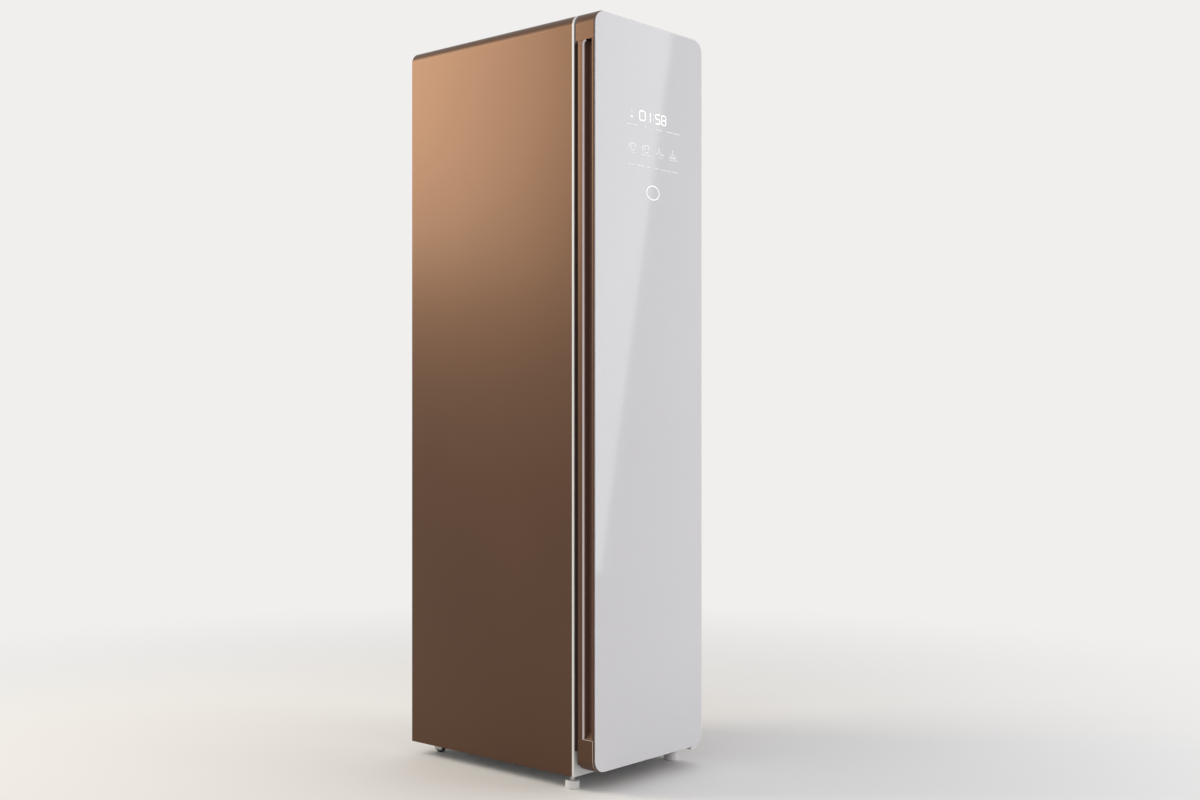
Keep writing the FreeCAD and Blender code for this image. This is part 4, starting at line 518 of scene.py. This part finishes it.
def hanger_shape(across, up, half, drop):
    """A clothes hanger as one line, from the tip of its hook."""
    return ([
        (across - 2.4, up + 5.6), (across - 1.2, up + 7.8), (across + 1.2, up + 7.8),
        (across + 2.2, up + 5.6), (across, up + 3.2), (across, up),
        (across - half, up - drop), (across + half, up - drop), (across, up),
    ], False)


def shirt_shape(across, up, half, tall):
    """A shirt's outline, going round from the left of its neck."""
    shoulder = half * 0.55
    return ([
        (across - 3, up + tall), (across - shoulder, up + tall - 1), (across - half, up + tall - 6),
        (across - half + 3.5, up + tall - 9), (across - shoulder, up + tall - 7),
        (across - shoulder, up), (across + shoulder, up), (across + shoulder, up + tall - 7),
        (across + half - 3.5, up + tall - 9), (across + half, up + tall - 6),
        (across + shoulder, up + tall - 1), (across + 3, up + tall), (across, up + tall - 3),
    ], True)


STEAM_X, DRY_X, FOLD_X, AIR_X = -70.5, -17.5, 31.5, 87.0            # the four programme signs
ICON_LOW = 1535.5
ICON_STROKE = 1.8
SHIRT_HALF, SHIRT_TALL = 11.5, 18


def display_icons():
    """Four generic programme signs: two shirts and two hangers, each with a small mark."""
    low = ICON_LOW
    steam = [
        ([(STEAM_X - 16, low + up), (STEAM_X - 13.5, low + up + 2), (STEAM_X - 16, low + up + 4)], False)
        for up in (5, 11)
    ]
    drops = [([(DRY_X - 16.5, low + up), (DRY_X - 14.7, low + up + 3)], False) for up in (3, 8, 13)]
    peak = ([(FOLD_X + 9.5, low), (FOLD_X + 14.5, low + 4), (FOLD_X + 19.5, low)], False)
    ripple = ([(AIR_X + 6 * step, low + (0.6 if step % 2 else -1.5)) for step in range(-2, 3)], False)
    signs = [
        shirt_shape(STEAM_X, low, SHIRT_HALF, SHIRT_TALL), *steam,
        shirt_shape(DRY_X, low, SHIRT_HALF, SHIRT_TALL), *drops,
        hanger_shape(FOLD_X, low + 8.5, 12, 7), peak,
        hanger_shape(AIR_X, low + 9.5, 14, 7.5), ripple,
    ]
    strokes("display_icons", signs, ICON_STROKE, DIM_WHITE)


LEVEL_X, LEVEL_HALF, LEVEL_STROKE = -75, 4, 3.0
LEVEL_LINE = 1616.2
DROP_LOW, DROP_HIGH = 1628.5, 1630.5


def level_sign():
    """The small sign beside the clock: a drop over a line."""
    drop = ([(LEVEL_X, DROP_HIGH), (LEVEL_X, DROP_LOW)], False)
    line = ([(LEVEL_X - LEVEL_HALF, LEVEL_LINE), (LEVEL_X + LEVEL_HALF, LEVEL_LINE)], False)
    strokes("display_level_sign", [drop, line], LEVEL_STROKE, LIT_WHITE)


RING_X, RING_Z, RING_WIDE, RING_TALL = 8.0, 1439.6, 49.0, 34.0
RING_STROKE = 1.8
RING_STEPS = 48


def power_ring():
    """The touch field's lit ring."""
    angles = [2 * math.pi * step / RING_STEPS for step in range(RING_STEPS)]
    points = [
        (RING_X + RING_WIDE / 2 * math.cos(angle), RING_Z + RING_TALL / 2 * math.sin(angle))
        for angle in angles
    ]
    strokes("power_ring", [(points, True)], RING_STROKE, LIT_WHITE)


# -------------------------------------- the door's edge and its painted highlight strips, in millimetres
GROOVE_LOW, GROOVE_HIGH = (corner.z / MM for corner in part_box("door_left_profile"))
SIDE_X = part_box("door_left_profile")[0].x / MM
CHAMFER = 3.4                               # bevel along the groove's rear edge
CHAMFER_Y = -276.9                          # its outer edge
GROOVE_FRONT_Y = -308.6                     # the groove's front edge, where the glass frame begins
CORNER_ROUND = 10.0                         # round of the bevel's upper end
CORNER_STEPS = 8
PROUD = 0.15                                # how far a painted highlight strip stands off its face


def painted_highlight_bevel():
    """Painted highlight: a pale strip over the groove's rear bevel, where the bevel catches the light,
    curving over at its upper end.
    """
    lift = PROUD / math.sqrt(2)
    far_x = SIDE_X + CHAMFER

    def station(back, up, fall_y, fall_z):
        """Section at a place on the outer edge, with the bevel falling inwards and to (fall_y, fall_z)."""
        far_y, far_z = back + fall_y * CHAMFER, up + fall_z * CHAMFER
        return [
            (SIDE_X - lift, back + fall_y * lift, up + fall_z * lift),
            (far_x - lift, far_y + fall_y * lift, far_z + fall_z * lift),
            (far_x, far_y, far_z), (SIDE_X, back, up),
        ]

    stations = [station(CHAMFER_Y, GROOVE_LOW, -1, 0)]
    for step in range(CORNER_STEPS + 1):
        turn = math.radians(90 * step / CORNER_STEPS)
        back = CHAMFER_Y - CORNER_ROUND * (1 - math.cos(turn))
        up = GROOVE_HIGH - CORNER_ROUND * (1 - math.sin(turn))
        stations.append(station(back, up, -math.cos(turn), -math.sin(turn)))
    swept("groove_bevel_painted_highlight", stations, PAINTED_HIGHLIGHT_METAL)


def groove_corner():
    """Painted filler behind the bevel's curve, so that the groove's upper corner is round."""
    face = [(CHAMFER_Y, GROOVE_HIGH)]
    face += arc(CHAMFER_Y - CORNER_ROUND, GROOVE_HIGH - CORNER_ROUND, CORNER_ROUND, 0, 90, CORNER_STEPS)
    depths = (SIDE_X, SIDE_X + CHAMFER)
    swept("groove_corner", [[(x, back, up) for back, up in face] for x in depths],
          MATERIALS["body_paint"])


CAP_ROUND = 33.0                            # round of the bottom cap's corner
CAP_STEPS = 12
CAP_LINE_HALF = 0.8                         # half the painted highlight line's width
CAP_LINE_FLAT = 0.6                         # share of that width that stands proud


def cap_edge_painted_highlight():
    """Painted highlight: a pale line where the bottom cap meets the glass frame, round to the door's
    underside.
    """
    cap_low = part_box("door_bottom_cap")[0].z / MM
    centre_x, centre_z = SIDE_X + CAP_ROUND, cap_low + CAP_ROUND
    places = [(SIDE_X, GROOVE_LOW, -1.0, 0.0)]
    for step in range(CAP_STEPS + 1):
        turn = math.radians(90 * step / CAP_STEPS)
        out_x, out_z = -math.cos(turn), -math.sin(turn)
        places.append((centre_x + CAP_ROUND * out_x, centre_z + CAP_ROUND * out_z, out_x, out_z))
    stations = [
        [
            (across, GROOVE_FRONT_Y - CAP_LINE_HALF, up),
            (across + PROUD * out_x, GROOVE_FRONT_Y - CAP_LINE_HALF * CAP_LINE_FLAT, up + PROUD * out_z),
            (across + PROUD * out_x, GROOVE_FRONT_Y + CAP_LINE_HALF * CAP_LINE_FLAT, up + PROUD * out_z),
            (across, GROOVE_FRONT_Y + CAP_LINE_HALF, up),
        ]
        for across, up, out_x, out_z in places
    ]
    swept("cap_edge_painted_highlight", stations, PAINTED_HIGHLIGHT_METAL)


LEDGE = 1.4                                 # height and depth of the painted highlight line under the groove


def groove_end_painted_highlight():
    """Painted highlight: a pale line on the bottom cap's upper edge, where the groove ends."""
    section = [(SIDE_X, GROOVE_LOW - LEDGE), (SIDE_X - PROUD, GROOVE_LOW - LEDGE + PROUD),
               (SIDE_X - PROUD, GROOVE_LOW + PROUD), (SIDE_X + LEDGE, GROOVE_LOW + PROUD),
               (SIDE_X + LEDGE, GROOVE_LOW)]
    ends = (CHAMFER_Y, GROOVE_FRONT_Y)
    swept("groove_end_painted_highlight", [[(x, back, up) for x, up in section] for back in ends],
          PAINTED_HIGHLIGHT_METAL)


GLASS_ROUND = 31.0                          # round of the glass's corners
GLASS_STEPS = 10
EDGE_INSIDE, EDGE_OUTSIDE = 1.1, 0.55       # how far the painted highlight edge reaches in and out
EDGE_PROUD, EDGE_DEEP = 0.1, 3.6            # how far it stands proud, and its depth


def glass_edge():
    """Painted highlight: a pale strip all round the glass, on its face and its side."""
    low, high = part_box("glass_panel")
    outline = rounded_loop(low.x / MM, high.x / MM, low.z / MM, high.z / MM, GLASS_ROUND, GLASS_STEPS)
    front = FACE_Y / MM - EDGE_PROUD
    slope = EDGE_OUTSIDE - EDGE_PROUD
    section = [(-EDGE_INSIDE, front), (EDGE_PROUD, front), (EDGE_OUTSIDE, front + slope),
               (EDGE_OUTSIDE, front + EDGE_DEEP), (-EDGE_INSIDE, front + EDGE_DEEP)]
    stations = []
    for count, (across, up) in enumerate(outline):
        quarter, step = divmod(count, GLASS_STEPS + 1)
        turn = math.radians(90 * quarter + 90 * step / GLASS_STEPS)
        stations.append([(across + out * math.cos(turn), back, up + out * math.sin(turn))
                         for out, back in section])
    swept("glass_edge", stations, GLASS_EDGE_PAINTED_HIGHLIGHT, closed=True)


RAMP_FOOT, RAMP_LIP = 20.4, 1.6             # how deep in the groove the slope starts and ends
RAMP_RISE = 13.0
RAMP_STEPS = 6
RAMP_CURVE = 1.6                            # above 1, the slope is hollow
RAMP_FRONT_GAP, RAMP_REAR_GAP = 3.2, 1.6


def groove_end_ramp():
    """Painted slope that closes the groove's lower end."""
    floor_x, outer_x = SIDE_X + RAMP_FOOT, SIDE_X + RAMP_LIP
    section = [(outer_x, GROOVE_LOW), (floor_x, GROOVE_LOW), (floor_x, GROOVE_LOW + RAMP_RISE)]
    for step in range(1, RAMP_STEPS):
        share = step / RAMP_STEPS
        section.append((floor_x + (outer_x - floor_x) * share,
                        GROOVE_LOW + RAMP_RISE * (1 - share) ** RAMP_CURVE))
    ends = (GROOVE_FRONT_Y + RAMP_FRONT_GAP, CHAMFER_Y - CHAMFER - RAMP_REAR_GAP)
    swept("groove_end_ramp", [[(x, back, up) for x, up in section] for back in ends],
          GROOVE_END)


# ---------------------------------------------------------------- the gasket
LIP_SECTION = (
    # millimetres out from the gasket's side, and forward of its rear face
    (-1.0, 6.0), (10.3, 1.6), (10.9, 0.9), (10.3, 0.3), (-1.0, 0.8),
)
LIP_LOW_GAP, LIP_HIGH_GAP = 34, 1           # from the gasket's lower and upper end


def painted_shade_gasket_lip():
    """Dark lip out from the gasket on the handle side: painted shade that darkens the gap beside the
    cabinet's frame.
    """
    low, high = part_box("door_gasket")
    section = [(low.x / MM - out, high.y / MM - forward) for out, forward in LIP_SECTION]
    ends = (low.z / MM + LIP_LOW_GAP, high.z / MM - LIP_HIGH_GAP)
    swept("painted_shade_gasket_lip", [[(x, back, up) for x, back in section] for up in ends],
          PAINTED_SHADE_RUBBER)


GASKET_HALF = 6 * MM                        # half the gasket's width
GASKET_SECTION = (
    # shares of the half width, and of the depth from the door
    (-0.80, 0.00), (0.80, 0.00), (0.80, 0.10), (0.42, 0.16), (0.42, 0.24), (0.92, 0.36),
    (0.62, 0.50), (0.96, 0.60), (0.98, 0.84), (0.82, 0.98), (0.30, 1.00), (-0.30, 1.00),
    (-0.82, 0.98), (-0.98, 0.84), (-0.96, 0.60), (-0.62, 0.50), (-0.92, 0.36),
    (-0.42, 0.24), (-0.42, 0.16), (-0.80, 0.10),
)


def door_gasket():
    """Magnetic gasket: a foot in the door liner, a folded bellows and the soft magnet pocket."""
    low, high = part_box("door_gasket")
    deep = high.y - low.y
    middle_x, middle_z = (low.x + high.x) / 2, (low.z + high.z) / 2
    reach_x, reach_z = (high.x - low.x) / 2 - GASKET_HALF, (high.z - low.z) / 2 - GASKET_HALF
    mesh = bmesh.new()
    rings = []
    for side_x, side_z in ((1, 1), (-1, 1), (-1, -1), (1, -1)):
        rings.append([
            mesh.verts.new((middle_x + side_x * (reach_x + out * GASKET_HALF), low.y + rise * deep,
                            middle_z + side_z * (reach_z + out * GASKET_HALF)))
            for out, rise in GASKET_SECTION
        ])
    join_rings(mesh, rings, closed=True)
    piece = add_piece("gasket_bellows", mesh, MATERIALS["soft_rubber"], "door")
    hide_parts("door_gasket")


# ------------------------------------------------------------- the press pad
PAD_COLUMNS, PAD_ROWS = 80, 200
PAD_CORNER = 22 * MM
PAD_RIM = 5 * MM                            # width of the rounded rim
PAD_FOOT = 0.12                             # thickness share that is left at the rim
PAD_CROWN = 0.16                            # share by which the middle stands higher
SEAM = 14 * MM                              # stitched line, in from the rim
PINCH_DEPTH, PINCH_WIDTH = 0.6, 2.4 * MM


def press_pad():
    """Padded cloth of the press: crowned, pinched along its stitched border."""
    low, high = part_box("press_pad")
    wide, tall, deep = high.x - low.x, high.z - low.z, high.y - low.y
    mesh = bmesh.new()

    def lift(across, up, rim):
        """Thickness share at a point: full inside the seam, pinched on it and round at the rim."""
        edge = min(1.0, rim / PAD_RIM)
        round_rim = math.sqrt(max(0.0, 1 - (1 - edge) ** 2))
        pinch = 1 - PINCH_DEPTH * math.exp(-((rim - SEAM) / PINCH_WIDTH) ** 2)
        dome = math.sin(math.pi * across / wide) * math.sin(math.pi * up / tall)
        return round_rim * pinch * (1 - PAD_CROWN + PAD_CROWN * dome)

    def rounded(across, up):
        """A point of the rectangle moved into its rounded corner, and its distance from the rim."""
        over_x = max(0.0, abs(across - wide / 2) - (wide / 2 - PAD_CORNER)) / PAD_CORNER
        over_z = max(0.0, abs(up - tall / 2) - (tall / 2 - PAD_CORNER)) / PAD_CORNER
        if over_x == 0 or over_z == 0:
            return across, up, min(across, wide - across, up, tall - up)
        into_x = over_x * math.sqrt(1 - over_z ** 2 / 2)
        into_z = over_z * math.sqrt(1 - over_x ** 2 / 2)
        moved_x = wide / 2 + math.copysign(wide / 2 - PAD_CORNER * (1 - into_x), across - wide / 2)
        moved_z = tall / 2 + math.copysign(tall / 2 - PAD_CORNER * (1 - into_z), up - tall / 2)
        return moved_x, moved_z, PAD_CORNER * (1 - math.hypot(into_x, into_z))

    grid = []
    for row in range(PAD_ROWS + 1):
        line = []
        for column in range(PAD_COLUMNS + 1):
            across, up, rim = rounded(wide * column / PAD_COLUMNS, tall * row / PAD_ROWS)
            rise = deep * (PAD_FOOT + (1 - PAD_FOOT) * lift(across, up, rim))
            line.append(mesh.verts.new((low.x + across, low.y + rise, low.z + up)))
        grid.append(line)
    for row in range(PAD_ROWS):
        for column in range(PAD_COLUMNS):
            mesh.faces.new((grid[row][column], grid[row][column + 1],
                            grid[row + 1][column + 1], grid[row + 1][column]))
    border = [edge for edge in mesh.edges if edge.is_boundary]
    walls = bmesh.ops.extrude_edge_only(mesh, edges=border)["geom"]
    for part in walls:
        if isinstance(part, bmesh.types.BMVert):
            part.co.y = low.y
    bmesh.ops.contextual_create(mesh, geom=[edge for edge in mesh.edges if edge.is_boundary])
    pad = add_piece("press_pad_cloth", mesh, CLOTH, "door")
    pad.data.shade_smooth()
    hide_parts("press_pad")


# --------------------------------------------------------------- the chamber
LENS_MARGIN = 6 * MM
LENS_ROUND = 5.0                            # in millimetres, as the layers are
LENS_LAYERS = ((0.0, 0.0), (0.0, 0.8), (1.2, 1.5), (4.0, 1.8))      # inset, and drop under the lamp


def chamber_lens():
    """Glowing lens under the chamber's ceiling lamp."""
    low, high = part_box("chamber_light")
    left, right = low.x + LENS_MARGIN, high.x - LENS_MARGIN
    front, rear = low.y + LENS_MARGIN, high.y - LENS_MARGIN
    outline = rounded_loop(left / MM, right / MM, front / MM, rear / MM, LENS_ROUND)
    centre_x, centre_y = (left + right) / 2, (front + rear) / 2
    mesh = bmesh.new()
    layers = []
    for inset, drop in LENS_LAYERS:
        wide = 1 - inset * MM / ((right - left) / 2)
        deep = 1 - inset * MM / ((rear - front) / 2)
        layers.append([
            mesh.verts.new((centre_x + (x * MM - centre_x) * wide, centre_y + (y * MM - centre_y) * deep,
                            low.z - drop * MM))
            for x, y in outline
        ])
    join_rings(mesh, layers)
    mesh.faces.new(layers[0])
    mesh.faces.new(layers[-1])
    lens = add_piece("chamber_lens", mesh, LAMP_WHITE, "cabinet")
    lens.data.shade_smooth()


# ---------------------------------------------------------------- the studio
PALE = linear(240, 239, 238)                # the background
FLOOR_PAINT = linear(242, 241, 240)
FLOOR_SIZE = 40.0
FADE_START, FADE_END = 0.7, 3.2             # where the floor turns into the background
WORLD_LIGHT, WORLD_STRENGTH = linear(250, 250, 252), 0.62


def studio_floor():
    """A pale floor that fades into the pale background, for the camera and for reflections."""
    mesh = bmesh.new()
    bmesh.ops.create_grid(mesh, x_segments=8, y_segments=8, size=FLOOR_SIZE)
    data = bpy.data.meshes.new("studio_floor")
    mesh.to_mesh(data)
    mesh.free()
    floor = bpy.data.objects.new("studio_floor", data)
    bpy.context.scene.collection.objects.link(floor)
    paint = Finish("studio_floor_paint", Roughness=0.75)
    paint.colour(paint.noise(3, detail=4), shade(FLOOR_PAINT, 0.99), FLOOR_PAINT)
    backdrop = paint.node("Emission", Color=PALE)
    distance = paint.node("VectorMath")
    distance.operation = "LENGTH"
    paint.link(paint.place, distance.inputs[0])
    fade = paint.node("MapRange", From_Min=FADE_START, From_Max=FADE_END)
    fade.interpolation_type = "SMOOTHSTEP"
    paint.link(distance.outputs["Value"], fade.inputs["Value"])
    path = paint.node("LightPath").outputs
    seen = combined(paint.tree, "MAXIMUM", path["Is Camera Ray"], path["Is Glossy Ray"])
    share = combined(paint.tree, "MULTIPLY", fade.outputs["Result"], seen)
    mix = paint.node("MixShader")
    paint.link(share, mix.inputs[0])
    paint.link(paint.shader.outputs["BSDF"], mix.inputs[1])
    paint.link(backdrop.outputs["Emission"], mix.inputs[2])
    paint.link(mix.outputs["Shader"], paint.tree.nodes["Material Output"].inputs["Surface"])
    data.materials.append(paint.material)


def studio_world():
    """Even pale surroundings, dimmer as a light than as a backdrop."""
    world = bpy.data.worlds.new("studio")
    bpy.context.scene.world = world
    world.use_nodes = True
    tree = world.node_tree
    lit = tree.nodes["Background"]
    lit.inputs["Color"].default_value = WORLD_LIGHT
    lit.inputs["Strength"].default_value = WORLD_STRENGTH
    shown = tree.nodes.new("ShaderNodeBackground")
    shown.inputs["Color"].default_value = PALE
    path = tree.nodes.new("ShaderNodeLightPath").outputs
    seen = combined(tree, "MAXIMUM", path["Is Camera Ray"], path["Is Glossy Ray"])
    seen = combined(tree, "MAXIMUM", seen, path["Is Transmission Ray"])
    mix = tree.nodes.new("ShaderNodeMixShader")
    tree.links.new(seen, mix.inputs[0])
    tree.links.new(lit.outputs["Background"], mix.inputs[1])
    tree.links.new(shown.outputs["Background"], mix.inputs[2])
    tree.links.new(mix.outputs["Shader"], tree.nodes["World Output"].inputs["Surface"])


LAMPS = {
    # name: (place, aim, width, height, power, spread in degrees, colour)
    "key_front_right": ((1.83, -2.75, 1.63), (1.83, -0.75, 1.286), 2.4, 3.2, 40, 180, (1.0, 1.0, 1.0)),
    "high_back_left": ((-1.95, 2.35, 2.45), (-0.215, 0.2, 1.4), 1.3, 1.9, 40, 140, (1.0, 0.9, 0.7)),
}


def studio_lamps():
    """Two large soft lamps: one before the cabinet to the right, one high behind it to the left."""
    for name, (place, aim, width, height, power, spread, colour) in LAMPS.items():
        data = bpy.data.lights.new(name, "AREA")
        data.shape = "RECTANGLE"
        data.size, data.size_y = width, height
        data.energy = power
        data.color = colour
        data.spread = math.radians(spread)
        lamp = bpy.data.objects.new(name, data)
        lamp.location = place
        lamp.rotation_euler = (Vector(aim) - Vector(place)).to_track_quat("-Z", "Y").to_euler()
        bpy.context.scene.collection.objects.link(lamp)


def photo_camera():
    """A level camera at the photo's eye, shifted to frame what the photo frames."""
    data = bpy.data.cameras.new("photo_camera")
    data.sensor_width = SENSOR
    data.lens = FOCAL_PIXELS * SENSOR / PHOTO_WIDTH
    data.shift_x = (PHOTO_WIDTH / 2 - PRINCIPAL_X) / PHOTO_WIDTH
    data.shift_y = (PRINCIPAL_Y - PHOTO_HEIGHT / 2) / PHOTO_WIDTH
    camera = bpy.data.objects.new("photo_camera", data)
    camera.location = EYE
    camera.rotation_euler = (math.pi / 2, 0, -YAW)
    bpy.context.scene.collection.objects.link(camera)
    bpy.context.scene.camera = camera


photo_camera()
studio_lamps()
studio_world()
studio_floor()
dress_frame()
soften_edges()
clock_digits()
dash_rows()
display_icons()
level_sign()
power_ring()
painted_highlight_bevel()
groove_corner()
cap_edge_painted_highlight()
groove_end_painted_highlight()
glass_edge()
groove_end_ramp()
painted_shade_gasket_lip()
door_gasket()
press_pad()
chamber_lens()

bpy.context.scene.view_settings.view_transform = "Standard"
